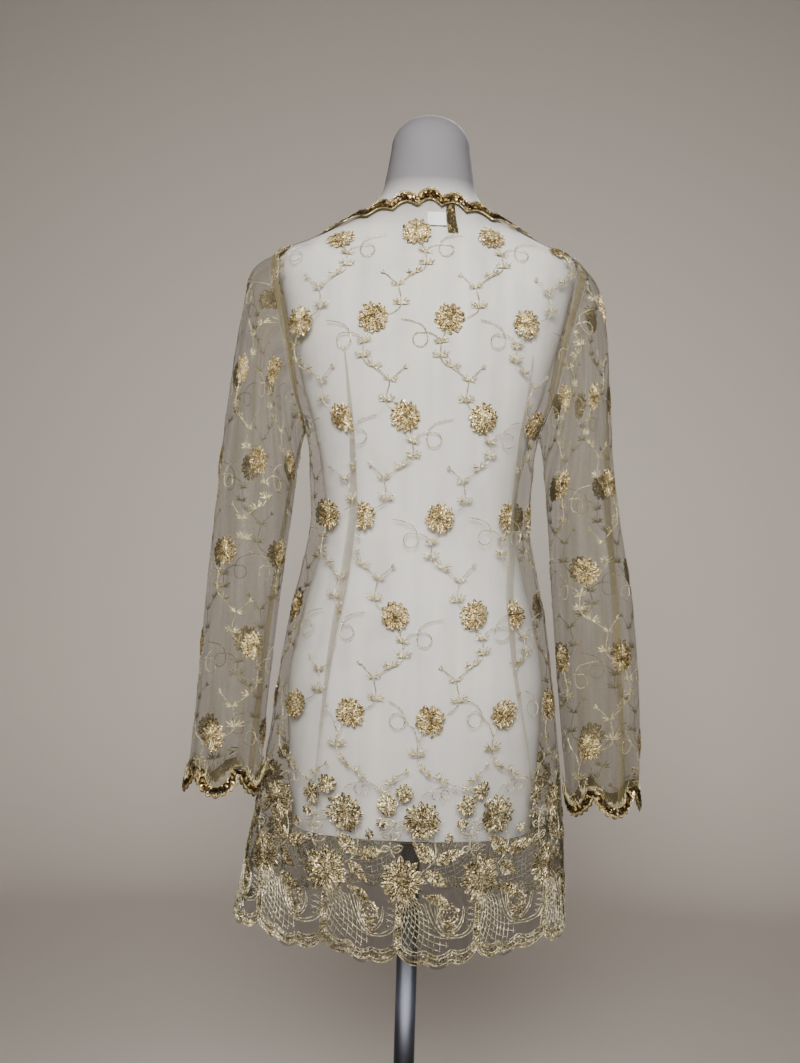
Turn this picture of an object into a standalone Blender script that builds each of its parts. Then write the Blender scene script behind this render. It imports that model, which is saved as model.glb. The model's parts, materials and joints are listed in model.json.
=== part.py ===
"""Long sheer kebaya blouse on a limbless dress form with a pole stand.

Metres, +Z up. The origin is on the floor under the pole. The blouse's back faces +Y and its front -Y, so
the wearer's left is +X. Cloth is a 1.2 mm wall on one body surface, which the form shares with its own gaps.
"""

import math
from collections import namedtuple

import bpy
from mathutils import Vector

for old in list(bpy.data.objects):
    bpy.data.objects.remove(old, do_unlink=True)

# ---------------------------------------------------------------- driving sizes
WALL = 0.0012            # cloth
SEAM_GAP = 0.0003        # between pieces that meet
TRIM_WALL = 0.0014       # sequin braid, with its cords
SIDE_HEM = 0.712         # height of the notches between hem scallops at the side seams
BACK_HEM_DROP = 0.017    # the hem hangs lower at the centre back
BACK_SCALLOPS = 3.5      # of the hem, from a side seam to the centre back: one hangs at the centre
FRONT_SCALLOPS = 3
SCALLOP_DEPTH = 0.015
UNDERARM = 1.2335
SHOULDER_TIP = 1.434
NECK_SIDE = 1.4655       # where the neckline crosses the shoulder seam
NECK_BACK = 1.492
NECK_FRONT = 1.315       # the point of the V
SHOULDER_SHARE = 0.42    # of a half panel's top edge, from the side: the rest is its neckline
ARMHOLE_TURN = 19.0      # how far the armhole cuts into each panel, in degrees
BRAID_WIDTH = 0.013
BRAID_PITCH = 0.028      # of the small scallops along the braid's outer edge
BRAID_DIP = 0.0035
BRAID_REST = 0.0009      # between the braid and the cloth it lies on
CUFF_SCALLOPS = 6
CUFF_DEPTH = 0.026
CUFF_PHASE = 0.5         # turns the scallops round the cuff, in radians
CUFF_REACH = 0.18        # share of the sleeve's length over which the scallops fade in
CUFF_BRAID = 0.017       # share of the sleeve's length that the cuff braid covers
FORM_BASE = 0.800
DOME_BASE = 1.553
DOME_RISE = 0.039
DOME_LIFT = 86           # degrees up the dome at which a small flat closes it
POLE_RADIUS = 0.0115
FOOT_RADIUS = 0.150
FOOT_EDGE = 0.008
FOOT_CROWN = 0.014
SOCKET_RADIUS = 0.021
SOCKET_HEIGHT = 0.050
FLANGE_RADIUS = 0.040
FLANGE_HEIGHT = 0.014

# The garment's inner surface by height, and how far inside it the form's skin lies at side, back and front.
Section = namedtuple("Section", "height half_width back front gap_side gap_back gap_front")
SECTIONS = [
    Section(0.640, 0.186, 0.146, 0.138, 0.050, 0.045, 0.043),
    Section(0.705, 0.180, 0.141, 0.133, 0.045, 0.042, 0.040),
    Section(0.783, 0.173, 0.134, 0.126, 0.041, 0.035, 0.034),
    Section(0.868, 0.1635, 0.126, 0.116, 0.026, 0.018, 0.019),
    Section(0.961, 0.152, 0.117, 0.105, 0.011, 0.008, 0.009),
    Section(1.034, 0.141, 0.105, 0.097, 0.013, 0.010, 0.010),
    Section(1.082, 0.130, 0.096, 0.092, 0.015, 0.013, 0.012),
    Section(1.135, 0.1215, 0.090, 0.092, 0.0165, 0.014, 0.013),
    Section(1.184, 0.1235, 0.091, 0.100, 0.014, 0.011, 0.010),
    Section(1.232, 0.129, 0.096, 0.113, 0.010, 0.007, 0.005),
    Section(1.288, 0.156, 0.101, 0.119, 0.021, 0.004, 0.003),
    Section(1.345, 0.176, 0.102, 0.110, 0.026, 0.0032, 0.0025),
    Section(1.390, 0.185, 0.096, 0.092, 0.025, 0.0032, 0.0022),
    Section(1.416, 0.182, 0.087, 0.076, 0.016, 0.0034, 0.0020),
    Section(1.434, 0.166, 0.079, 0.062, 0.0045, 0.0045, 0.0026),
    Section(1.446, 0.138, 0.073, 0.053, 0.0026, 0.0052, 0.0028),
    Section(1.457, 0.116, 0.069, 0.049, 0.0028, 0.0056, 0.0028),
    Section(1.468, 0.095, 0.065, 0.047, 0.0030, 0.0054, 0.0028),
    Section(1.482, 0.075, 0.062, 0.049, 0.0034, 0.0044, 0.0028),
    Section(1.500, 0.0585, 0.0560, 0.049, 0.0040, 0.0034, 0.0034),
    Section(1.522, 0.0530, 0.0515, 0.047, 0.0040, 0.0034, 0.0034),
    Section(DOME_BASE, 0.0480, 0.0480, 0.046, 0.0040, 0.0034, 0.0034),
]
SQUARENESS = 2.3         # of the horizontal sections: 2 is an ellipse

# Soft folds of the skirt: where round the body, how wide, how far in (-) or out, and the height they start at.
Fold = namedtuple("Fold", "turn spread depth start")
FOLDS = [
    Fold(6, 20, 0.012, 0.90),
    Fold(62, 9, -0.011, 0.98),
    Fold(97, 22, 0.007, 0.96),
    Fold(134, 9, -0.012, 0.98),
    Fold(176, 18, -0.009, 0.95),
    Fold(212, 12, 0.008, 0.98),
    Fold(240, 9, -0.010, 0.98),
    Fold(-34, 10, -0.009, 0.98),
    Fold(-58, 12, 0.007, 0.97),
]

# Each sleeve's outer and inner outline seen from behind, its half depth and how far it hangs back.
SleeveRow = namedtuple("SleeveRow", "outer_x outer_z inner_x inner_z half_depth sway")
LEFT_SLEEVE = [
    SleeveRow(0.167, 1.434, 0.130, 1.233, 0.050, 0.000),
    SleeveRow(0.190, 1.418, 0.133, 1.222, 0.056, 0.000),
    SleeveRow(0.204, 1.367, 0.136, 1.205, 0.059, 0.000),
    SleeveRow(0.214, 1.306, 0.139, 1.182, 0.059, 0.001),
    SleeveRow(0.223, 1.220, 0.142, 1.150, 0.057, 0.003),
    SleeveRow(0.228, 1.150, 0.147, 1.105, 0.054, 0.006),
    SleeveRow(0.234, 1.050, 0.153, 1.040, 0.050, 0.018),
    SleeveRow(0.239, 0.950, 0.160, 0.950, 0.046, 0.034),
    SleeveRow(0.243, 0.880, 0.164, 0.875, 0.042, 0.049),
    SleeveRow(0.247, 0.844, 0.166, 0.842, 0.042, 0.055),
]
RIGHT_SLEEVE = [
    SleeveRow(0.167, 1.434, 0.130, 1.233, 0.050, 0.000),
    SleeveRow(0.188, 1.408, 0.133, 1.222, 0.056, 0.000),
    SleeveRow(0.202, 1.350, 0.136, 1.205, 0.059, 0.000),
    SleeveRow(0.208, 1.285, 0.139, 1.182, 0.059, 0.000),
    SleeveRow(0.214, 1.215, 0.142, 1.150, 0.057, 0.000),
    SleeveRow(0.223, 1.150, 0.146, 1.105, 0.054, 0.001),
    SleeveRow(0.240, 1.050, 0.151, 1.040, 0.050, 0.004),
    SleeveRow(0.250, 0.950, 0.160, 0.945, 0.047, 0.008),
    SleeveRow(0.252, 0.870, 0.169, 0.860, 0.046, 0.012),
    SleeveRow(0.252, 0.829, 0.172, 0.824, 0.047, 0.014),
]
SLEEVE_WAVES = 4         # soft lengthwise creases round a sleeve
SLEEVE_WAVE = 0.0022
SLEEVE_SET_OFF = 0.0008  # from the panel's edge, so that the bent wall clears it
SLEEVE_JOIN = 0.28       # share of the sleeve's length that blends from the armhole to the table's rings
HEM_FADE = 6             # how fast the hem's scallops fade up the skirt

# ---------------------------------------------------------------- mesh resolution
BODY_ROWS = 14           # hem to underarm
ARM_ROWS = 12            # underarm to shoulder tip, and half of a sleeve's columns
BACK_COLUMNS = 14        # side seam to centre back, four to a scallop
FRONT_COLUMNS = 15       # side seam to centre front, five to a scallop
SLEEVE_RINGS = 17
FORM_COLUMNS = 26
FORM_STEPS = ((0.034, 1.20), (0.012, 1.50), (0.018, DOME_BASE))  # ring spacing, up to a height
DOME_RINGS = 5


# ---------------------------------------------------------------- surfaces
def smooth_table(keys, rows):
    """A function that gives the rows' columns anywhere between their keys, on smooth curves through them."""
    last = len(keys) - 1
    slopes = []
    for i in range(last + 1):
        low, high = max(i - 1, 0), min(i + 1, last)
        slopes.append([(b - a) / (keys[high] - keys[low]) for a, b in zip(rows[low], rows[high])])

    def read(at):
        at = min(max(at, keys[0]), keys[-1])
        i = next(k for k in range(last) if at <= keys[k + 1])
        step = keys[i + 1] - keys[i]
        t = (at - keys[i]) / step
        start, end = 2 * t**3 - 3 * t**2 + 1, 3 * t**2 - 2 * t**3
        leave, arrive = (t**3 - 2 * t**2 + t) * step, (t**3 - t**2) * step
        return [
            start * a + end * b + leave * p + arrive * q
            for a, b, p, q in zip(rows[i], rows[i + 1], slopes[i], slopes[i + 1])
        ]

    return read


def running_lengths(points):
    """The length along a chain of points up to each of them."""
    lengths = [0.0]
    for a, b in zip(points, points[1:]):
        lengths.append(lengths[-1] + math.dist(a, b))
    return lengths


SIDE_LENGTHS = running_lengths([(row.half_width, row.height) for row in SECTIONS])
section_at = smooth_table(SIDE_LENGTHS, SECTIONS)


def rise_at(height):
    """How far up the side outline a height is. The outline's length places every row of the body."""
    low, high = SIDE_LENGTHS[0], SIDE_LENGTHS[-1]
    for _ in range(40):
        middle = (low + high) / 2
        if section_at(middle)[0] < height:
            low = middle
        else:
            high = middle
    return (low + high) / 2


def fold_out(turn, height):
    """How far the skirt's folds stand out at a place."""
    total = 0.0
    for fold in FOLDS:
        fall = min(max((fold.start - height) / (fold.start - SIDE_HEM), 0.0), 1.2)
        away = (turn - fold.turn + 180) % 360 - 180
        total += fold.depth * fall**1.4 * math.exp(-((away / fold.spread) ** 2))
    return total


def body_point(turn, rise, on_form=False):
    """A point of the garment's inner face, or of the form's skin. Turn 0 is the left side, 90 the back."""
    height, half_width, back, front, gap_side, gap_back, gap_front = section_at(rise)
    angle = math.radians(turn)
    across, along = math.cos(angle), math.sin(angle)
    depth, gap_depth = (back, gap_back) if along > 0 else (front, gap_front)
    if on_form:
        half_width, depth = half_width - gap_side, depth - gap_depth
    radius = (abs(across / half_width) ** SQUARENESS + abs(along / depth) ** SQUARENESS) ** (-1 / SQUARENESS)
    if not on_form:
        radius += fold_out(turn, height)
    return Vector((radius * across, radius * along, height))


def even_turns(centre_turn, height, steps=60):
    """A function that gives the turn at a share of the way round from the side seam to a panel's centre."""
    rise = rise_at(height)
    turns = [centre_turn * i / steps for i in range(steps + 1)]
    lengths = running_lengths([body_point(turn, rise) for turn in turns])
    read = smooth_table([length / lengths[-1] for length in lengths], [(turn,) for turn in turns])
    return lambda share: read(share)[0]


WAIST = 1.13
turn_at_share = {90: even_turns(90, WAIST), -90: even_turns(-90, WAIST)}


def hem_rise(share, centre_turn):
    """The hem's place on the side outline, with its scallops and its drop at the back."""
    drop = BACK_HEM_DROP * math.sin(share * math.pi / 2) ** 2 if centre_turn > 0 else 0.0
    scallops = BACK_SCALLOPS if centre_turn > 0 else FRONT_SCALLOPS
    lobe = abs(math.sin(share * scallops * math.pi))
    return rise_at(SIDE_HEM - drop - SCALLOP_DEPTH * lobe)


SIDE_HEM_RISE = rise_at(SIDE_HEM)
UNDERARM_RISE = rise_at(UNDERARM)
TIP_RISE = rise_at(SHOULDER_TIP)
NECK_SIDE_RISE = rise_at(NECK_SIDE)
NECK_BACK_RISE = rise_at(NECK_BACK)
NECK_FRONT_RISE = rise_at(NECK_FRONT)


def armhole(roll):
    """Turn and rise of the armhole's edge on the left side. Roll 0 is the underarm, 180 the shoulder tip."""
    share = (1 - math.cos(math.radians(roll))) / 2
    turn = ARMHOLE_TURN * math.sqrt(max(math.sin(math.pi * share), 0.0))
    return turn if roll <= 180 else -turn, UNDERARM_RISE + (TIP_RISE - UNDERARM_RISE) * share


def top_edge(share, neck_turn, neck_rise):
    """Turn and rise along a panel's top edge: the shoulder seam, then the neckline to its centre."""
    if share < SHOULDER_SHARE:
        return 0.0, TIP_RISE + (NECK_SIDE_RISE - TIP_RISE) * share / SHOULDER_SHARE
    t = (share - SHOULDER_SHARE) / (1 - SHOULDER_SHARE)
    curve = math.sin(t * math.pi / 2) if neck_turn > 0 else t
    return neck_turn * t, NECK_SIDE_RISE + (neck_rise - NECK_SIDE_RISE) * curve


def half_panel(share, row, centre_turn, centre_rise):
    """Turn and rise of a grid point of half a body. Share runs from side to centre, row from hem to top."""
    turn = turn_at_share[centre_turn](share)
    if row <= BODY_ROWS:
        up = row / BODY_ROWS
        plain = SIDE_HEM_RISE + (UNDERARM_RISE - SIDE_HEM_RISE) * up
        return turn, plain + (hem_rise(share, centre_turn) - SIDE_HEM_RISE) * (1 - up) ** HEM_FADE
    t = (row - BODY_ROWS) / ARM_ROWS
    side_turn, side_rise = armhole(180 * t)
    side = (side_turn * math.copysign(1, centre_turn), side_rise)
    centre = (centre_turn, UNDERARM_RISE + (centre_rise - UNDERARM_RISE) * t)
    top = top_edge(share, centre_turn, centre_rise)
    low = (turn, UNDERARM_RISE)
    corners = (
        (0.0, UNDERARM_RISE), (centre_turn, UNDERARM_RISE), (0.0, TIP_RISE), (centre_turn, centre_rise),
    )
    place = []
    for axis in range(2):
        sides = (1 - t) * low[axis] + t * top[axis] + (1 - share) * side[axis] + share * centre[axis]
        a, b, c, d = [corner[axis] for corner in corners]
        place.append(sides - (1 - t) * ((1 - share) * a + share * b) - t * ((1 - share) * c + share * d))
    return tuple(place)


# ---------------------------------------------------------------- building solids
def material(name, colour, roughness, metallic=0.0):
    made = bpy.data.materials.new(name)
    made.use_nodes = True
    shader = made.node_tree.nodes["Principled BSDF"]
    shader.inputs["Base Color"].default_value = (*colour, 1.0)
    shader.inputs["Roughness"].default_value = roughness
    shader.inputs["Metallic"].default_value = metallic
    return made


def add_object(name, points, faces, look):
    """An object from points and faces, with its faces pointing out and round parts shaded smooth."""
    mesh = bpy.data.meshes.new(name)
    mesh.from_pydata(points, [], faces)
    mesh.shade_smooth()
    mesh.set_sharp_from_angle(angle=math.radians(40))
    mesh.materials.append(look)
    made = bpy.data.objects.new(name, mesh)
    bpy.context.scene.collection.objects.link(made)
    return made


def sheet(name, grid, thickness, look, closed=False, outwards=True):
    """A wall from a grid of the points of one face, thickened outwards or inwards from there. Columns run
    anticlockwise seen from above, and rows up; closed joins the last column to the first."""
    rows, columns = len(grid), len(grid[0])
    points = [point for line in grid for point in line]
    faces = []
    for r in range(rows - 1):
        for c in range(columns if closed else columns - 1):
            n = (c + 1) % columns
            faces.append((r * columns + c, r * columns + n, (r + 1) * columns + n, (r + 1) * columns + c))
    made = add_object(name, points, faces, look)
    wall = made.modifiers.new("wall", "SOLIDIFY")
    wall.thickness = thickness
    wall.offset = 1.0 if outwards else -1.0
    wall.use_even_offset = True
    return made


def loft(name, rings, look):
    """A closed solid through rings of points, bottom to top, with flat ends."""
    columns = len(rings[0])
    points = [point for ring in rings for point in ring]
    faces = [tuple(reversed(range(columns)))]
    for r in range(len(rings) - 1):
        for c in range(columns):
            n = (c + 1) % columns
            faces.append((r * columns + c, r * columns + n, (r + 1) * columns + n, (r + 1) * columns + c))
    last = (len(rings) - 1) * columns
    faces.append(tuple(last + c for c in range(columns)))
    return add_object(name, points, faces, look)


def circle(radius, height, steps=36):
    return [
        Vector((radius * math.cos(2 * math.pi * i / steps), radius * math.sin(2 * math.pi * i / steps), height))
        for i in range(steps)
    ]


# ---------------------------------------------------------------- body panels
def panel_grid(columns):
    """Rows of body points for columns of (share, centre turn, centre rise, mirrored)."""
    grid = []
    for row in range(BODY_ROWS + ARM_ROWS + 1):
        line = []
        for share, centre_turn, centre_rise, mirrored in columns:
            turn, rise = half_panel(share, row, centre_turn, centre_rise)
            point = body_point(180 - turn if mirrored else turn, rise)
            half_gap = SEAM_GAP / 2
            if centre_turn > 0:
                point.y = max(point.y, half_gap)
            else:
                point.y = min(point.y, -half_gap)
                point.x = min(point.x, -half_gap) if mirrored else max(point.x, half_gap)
            line.append(point)
        grid.append(line)
    return grid


tulle = material("gold_tulle", (0.43, 0.38, 0.24), 0.7)
braid = material("sequin_braid", (0.16, 0.08, 0.02), 0.35, 0.6)

shares = [i / BACK_COLUMNS for i in range(BACK_COLUMNS + 1)]
back_columns = [(s, 90, NECK_BACK_RISE, False) for s in shares]
back_columns += [(s, 90, NECK_BACK_RISE, True) for s in reversed(shares[:-1])]
sheet("back", panel_grid(back_columns), WALL, tulle)
shares = [i / FRONT_COLUMNS for i in range(FRONT_COLUMNS + 1)]
left_columns = [(s, -90, NECK_FRONT_RISE, False) for s in reversed(shares)]
sheet("front_left", panel_grid(left_columns), WALL, tulle)
right_columns = [(s, -90, NECK_FRONT_RISE, True) for s in shares]
sheet("front_right", panel_grid(right_columns), WALL, tulle)


# ---------------------------------------------------------------- sleeves
def body_normal(turn, rise):
    """Which way the cloth of the body faces at a place."""
    around = body_point(turn + 0.5, rise) - body_point(turn - 0.5, rise)
    up = body_point(turn, rise + 0.001) - body_point(turn, rise - 0.001)
    return around.cross(up).normalized()


def armhole_start(roll):
    """Where the outer face of the sleeve starts: just past the panel's outer edge."""
    turn, rise = armhole(roll)
    edge, normal = body_point(turn, rise), body_normal(turn, rise)
    away = body_point(0, (UNDERARM_RISE + TIP_RISE) / 2) - edge
    away -= normal * away.dot(normal)
    return edge + normal * (WALL + SEAM_GAP) + away.normalized() * SLEEVE_SET_OFF


def sleeve_surface(rows):
    """A function that gives a left sleeve's outer face: reach 0 to 1 from armhole to cuff, roll as armhole."""
    middles = [((r.outer_x + r.inner_x) / 2, (r.outer_z + r.inner_z) / 2) for r in rows]
    lengths = running_lengths(middles)
    read = smooth_table([length / lengths[-1] for length in lengths], rows)

    def ring_point(reach, roll):
        outer_x, outer_z, inner_x, inner_z, half_depth, sway = read(reach)
        a = math.radians(roll)
        mix = (1 - math.cos(a)) / 2
        wave = 1 + SLEEVE_WAVE / half_depth * reach * math.cos(SLEEVE_WAVES * a + 0.6)
        return Vector((
            inner_x + (outer_x - inner_x) * mix,
            sway + half_depth * wave * math.sin(a),
            inner_z + (outer_z - inner_z) * mix,
        ))

    def point(reach, roll):
        join = max(1 - reach / SLEEVE_JOIN, 0.0) ** 2
        made = ring_point(reach, roll) + (armhole_start(roll) - ring_point(0, roll)) * join
        lobe = abs(math.sin(math.radians(roll) * CUFF_SCALLOPS / 2 + CUFF_PHASE)) - 0.5
        made.z -= CUFF_DEPTH * lobe * max(1 - (1 - reach) / CUFF_REACH, 0.0) ** 2
        return made

    return point


def mirrored(point):
    return Vector((-point.x, point.y, point.z))


cuffs = {}
columns = 2 * ARM_ROWS
rolls = [360 * c / columns for c in range(columns)]
for side, rows in (("left", LEFT_SLEEVE), ("right", RIGHT_SLEEVE)):
    surface = sleeve_surface(rows)
    grid = [[surface(r / SLEEVE_RINGS, roll) for roll in rolls] for r in range(SLEEVE_RINGS, -1, -1)]
    if side == "right":
        grid = [[mirrored(point) for point in line] for line in grid]
    else:
        grid = [list(reversed(line)) for line in grid]
    sheet(f"sleeve_{side}", grid, WALL, tulle, closed=True, outwards=False)
    cuffs[side] = surface


# ---------------------------------------------------------------- sequin braid
def inset(turn, rise, ahead, distance):
    """A point on the body, a distance in from an edge that runs towards ahead (turn, rise), to its right."""
    here = body_point(turn, rise)
    around = (body_point(turn + 0.2, rise) - body_point(turn - 0.2, rise)) / 0.4
    up = (body_point(turn, rise + 0.0005) - body_point(turn, rise - 0.0005)) / 0.001
    along = around * (ahead[0] - turn) + up * (ahead[1] - rise)
    inwards = body_normal(turn, rise).cross(along).normalized() * -distance
    aa, au, uu = around.dot(around), around.dot(up), up.dot(up)
    pa, pu = inwards.dot(around), inwards.dot(up)
    scale = aa * uu - au * au
    return turn + (pa * uu - pu * au) / scale, rise + (pu * aa - pa * au) / scale


def braid_strip(edge, across=2):
    """Rows of points for braid along an edge of the body, given as (turn, rise) places in order."""
    lengths = running_lengths([body_point(*place) for place in edge])
    scallops = round(lengths[-1] / BRAID_PITCH)
    last = len(edge) - 1
    grid = [[] for _ in range(across + 1)]
    for i, (turn, rise) in enumerate(edge):
        ahead, behind = edge[min(i + 2, last)], edge[max(i - 2, 0)]
        heading = (turn + ahead[0] - behind[0], rise + ahead[1] - behind[1])
        outer = BRAID_DIP * (1 - abs(math.sin(lengths[i] / lengths[-1] * scallops * math.pi)))
        for q in range(across + 1):
            place = inset(turn, rise, heading, outer + (BRAID_WIDTH - outer) * (1 - q / across))
            grid[q].append(body_point(*place) + body_normal(*place) * (WALL + BRAID_REST))
    return grid


def parted(grid):
    """The rows with their end columns drawn in, so that neighbouring lengths of braid stay apart."""
    made = []
    for line in grid:
        start = line[0] + (line[1] - line[0]).normalized() * SEAM_GAP
        end = line[-1] + (line[-2] - line[-1]).normalized() * SEAM_GAP
        made.append([start, *line[1:-1], end])
    return made


FRONT_TURN = -89.87      # the braid's edge at the centre front
RUN_SAMPLES, SLOPE_SAMPLES, NECK_SAMPLES = 66, 34, 40

front_run = [
    (FRONT_TURN, SIDE_HEM_RISE + 0.001 + (NECK_FRONT_RISE - SIDE_HEM_RISE) * i / RUN_SAMPLES)
    for i in range(RUN_SAMPLES)
]
front_slope = [
    (FRONT_TURN * (1 - i / SLOPE_SAMPLES),
     NECK_FRONT_RISE + (NECK_SIDE_RISE - NECK_FRONT_RISE) * i / SLOPE_SAMPLES)
    for i in range(SLOPE_SAMPLES)
]
left_front = front_run + front_slope
right_front = [(180 - turn, rise) for turn, rise in reversed(left_front)]
back_neck = []
for i in range(NECK_SAMPLES + 1):
    turn = 180 * i / NECK_SAMPLES
    rise = NECK_SIDE_RISE + (NECK_BACK_RISE - NECK_SIDE_RISE) * math.sin(math.radians(turn))
    back_neck.append((turn, rise))
strip = braid_strip(left_front + back_neck + right_front)
left_seam, right_seam = len(left_front), len(left_front) + NECK_SAMPLES
sheet("front_braid_left", parted([line[:left_seam + 1] for line in strip]), TRIM_WALL, braid)
sheet("neck_braid", parted([line[left_seam:right_seam + 1] for line in strip]), TRIM_WALL, braid)
sheet("front_braid_right", parted([line[right_seam:] for line in strip]), TRIM_WALL, braid)

for side, surface in cuffs.items():
    grid = []
    for reach in (1.0, 1 - CUFF_BRAID):
        line = []
        for roll in rolls:
            around = surface(reach, roll + 1) - surface(reach, roll - 1)
            down = surface(1, roll) - surface(1 - CUFF_BRAID, roll)
            line.append(surface(reach, roll) + around.cross(down).normalized() * BRAID_REST)
        grid.append([mirrored(p) for p in line] if side == "right" else list(reversed(line)))
    sheet(f"cuff_braid_{side}", grid, TRIM_WALL, braid, closed=True)


# ---------------------------------------------------------------- inside the back neck
def inside_strip(name, turns, heights, rest, thickness, look, columns=4, rows=3):
    """A flat piece just inside the back, at rest from it, between two turns and two heights."""
    grid = []
    for r in range(rows + 1):
        rise = rise_at(heights[0] + (heights[1] - heights[0]) * r / rows)
        places = [(turns[0] + (turns[1] - turns[0]) * c / columns, rise) for c in range(columns + 1)]
        grid.append([body_point(*place) - body_normal(*place) * rest for place in places])
    sheet(name, grid, thickness, look, outwards=False)


LABEL_TURNS, LABEL_HEIGHTS, LABEL_WALL = (90.8, 108.6), (1.4575, 1.4726), 0.0006
END_TURNS, END_HEIGHTS, END_WALL = (109.8, 117.8), (1.4500, 1.4790), 0.0010

label_cloth = material("white_label_tape", (0.85, 0.85, 0.82), 0.6)
inside_strip("neck_label", LABEL_TURNS, LABEL_HEIGHTS, LABEL_WALL, LABEL_WALL, label_cloth)
inside_strip("braid_end", END_TURNS, END_HEIGHTS, END_WALL, END_WALL, braid, columns=2)


# ---------------------------------------------------------------- dress form and stand
form_rings = []
rise, top_rise = rise_at(FORM_BASE), rise_at(DOME_BASE)
for spacing, limit in FORM_STEPS:
    limit_rise = rise_at(limit)
    count = round((limit_rise - rise) / spacing)
    start = rise
    for i in range(count):
        form_rings.append(start + (limit_rise - start) * i / count)
    rise = limit_rise
form_rings.append(top_rise)
turns = [360 * c / FORM_COLUMNS for c in range(FORM_COLUMNS)]
rings = [[body_point(turn, rise, on_form=True) for turn in turns] for rise in form_rings]
for i in range(1, DOME_RINGS + 1):
    lift = math.radians(DOME_LIFT * i / DOME_RINGS)
    rings.append([
        Vector((p.x * math.cos(lift), p.y * math.cos(lift), DOME_BASE + DOME_RISE * math.sin(lift)))
        for p in rings[len(form_rings) - 1]
    ])
satin = material("satin_white_plastic", (0.58, 0.57, 0.56), 0.38)
steel = material("black_enamelled_steel", (0.015, 0.016, 0.024), 0.35, 0.4)
loft("dress_form", rings, satin)


def tube(name, inner, outer, low, high, look, edge=0.0015):
    """A round collar round the pole, with its outer top and bottom edges broken."""
    profile = [(inner, low), (outer - edge, low), (outer, low + edge), (outer, high - edge),
               (outer - edge, high), (inner, high)]
    steps = 24
    rings = [circle(radius, height, steps) for radius, height in profile]
    points = [point for ring in rings for point in ring]
    faces = []
    for r in range(len(rings)):
        after = (r + 1) % len(rings)
        for c in range(steps):
            n = (c + 1) % steps
            faces.append((r * steps + c, r * steps + n, after * steps + n, after * steps + c))
    return add_object(name, points, faces, look)


foot_profile = [
    (FOOT_RADIUS, 0.0), (FOOT_RADIUS, FOOT_EDGE - 0.002), (FOOT_RADIUS - 0.002, FOOT_EDGE),
    (FOOT_RADIUS - 0.030, FOOT_EDGE + 0.0015), (0.060, FOOT_CROWN - 0.001), (0.030, FOOT_CROWN),
]
loft("foot", [circle(radius, height) for radius, height in foot_profile], steel)
pole_low, pole_high = FOOT_CROWN + SEAM_GAP, FORM_BASE - SEAM_GAP
loft("pole", [circle(POLE_RADIUS, pole_low, 20), circle(POLE_RADIUS, pole_high, 20)], steel)
bore = POLE_RADIUS + SEAM_GAP
tube("pole_socket", bore, SOCKET_RADIUS, pole_low, pole_low + SOCKET_HEIGHT, steel)
tube("form_flange", bore, FLANGE_RADIUS, pole_high - FLANGE_HEIGHT, pole_high, steel)
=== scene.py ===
import json
import bisect
import math
import random
from collections import namedtuple

import bmesh
import bpy
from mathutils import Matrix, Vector

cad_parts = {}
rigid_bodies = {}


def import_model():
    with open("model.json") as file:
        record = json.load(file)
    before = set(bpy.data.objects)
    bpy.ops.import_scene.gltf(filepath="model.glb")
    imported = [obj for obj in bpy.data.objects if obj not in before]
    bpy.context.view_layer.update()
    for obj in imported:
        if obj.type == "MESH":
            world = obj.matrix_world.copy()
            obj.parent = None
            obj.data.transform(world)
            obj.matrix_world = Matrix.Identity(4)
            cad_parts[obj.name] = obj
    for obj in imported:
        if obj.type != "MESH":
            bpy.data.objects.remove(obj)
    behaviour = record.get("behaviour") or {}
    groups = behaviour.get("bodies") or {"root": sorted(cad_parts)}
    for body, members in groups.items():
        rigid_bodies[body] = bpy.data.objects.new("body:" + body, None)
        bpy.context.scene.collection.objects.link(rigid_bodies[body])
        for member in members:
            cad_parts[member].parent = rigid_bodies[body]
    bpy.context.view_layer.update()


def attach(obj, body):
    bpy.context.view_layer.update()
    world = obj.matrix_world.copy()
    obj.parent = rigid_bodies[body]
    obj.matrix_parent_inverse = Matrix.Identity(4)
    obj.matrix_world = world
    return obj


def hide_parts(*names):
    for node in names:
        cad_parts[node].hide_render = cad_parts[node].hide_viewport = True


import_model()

# ======================================================================= stand
# A floor stand of turned and welded steel, stove-enamelled blue-black: a round domed foot, a tube that
# stands in the foot's socket, and a flange under the form. The enamel is smooth and softly glossy.
FOOT_PROFILE = [
    (0.0, 0.0), (0.1480, 0.0), (0.1494, 0.0006), (0.1500, 0.0020), (0.1500, 0.0055), (0.1493, 0.0074),
    (0.1475, 0.0082), (0.1200, 0.0096), (0.0900, 0.0112), (0.0600, 0.0127), (0.0300, 0.0138), (0.0, 0.0140),
]
POLE_RADIUS, POLE_LOW, POLE_HIGH = 0.0115, 0.0143, 0.7997
COLLAR_EDGE = 0.0015     # radius of the broken edges of socket and flange
SOCKET = (0.0118, 0.0210, 0.0143, 0.0643)    # inner and outer radius, low and high
FLANGE = (0.0118, 0.0400, 0.7857, 0.7997)
TURNED_STEPS = 96


def linear(code):
    """An sRGB hex colour as linear red, green, blue and alpha."""
    parts = [int(code[i:i + 2], 16) / 255 for i in (1, 3, 5)]
    return (*[p / 12.92 if p <= 0.04045 else ((p + 0.055) / 1.055) ** 2.4 for p in parts], 1.0)


def add_node(tree, kind, inputs=None, stops=None, **settings):
    """A node with its settings, inputs (values, or sockets to link from) and colour stops."""
    node = tree.nodes.new(kind)
    for name, value in settings.items():
        setattr(node, name, value)
    for key, value in (inputs or {}).items():
        if isinstance(value, bpy.types.NodeSocket):
            tree.links.new(value, node.inputs[key])
        else:
            node.inputs[key].default_value = value
    if stops:
        points = node.color_ramp.elements
        while len(points) < len(stops):
            points.new(0.5)
        for point, (place, colour) in zip(points, stops):
            point.position = place
            point.color = linear(colour)
    return node


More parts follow.
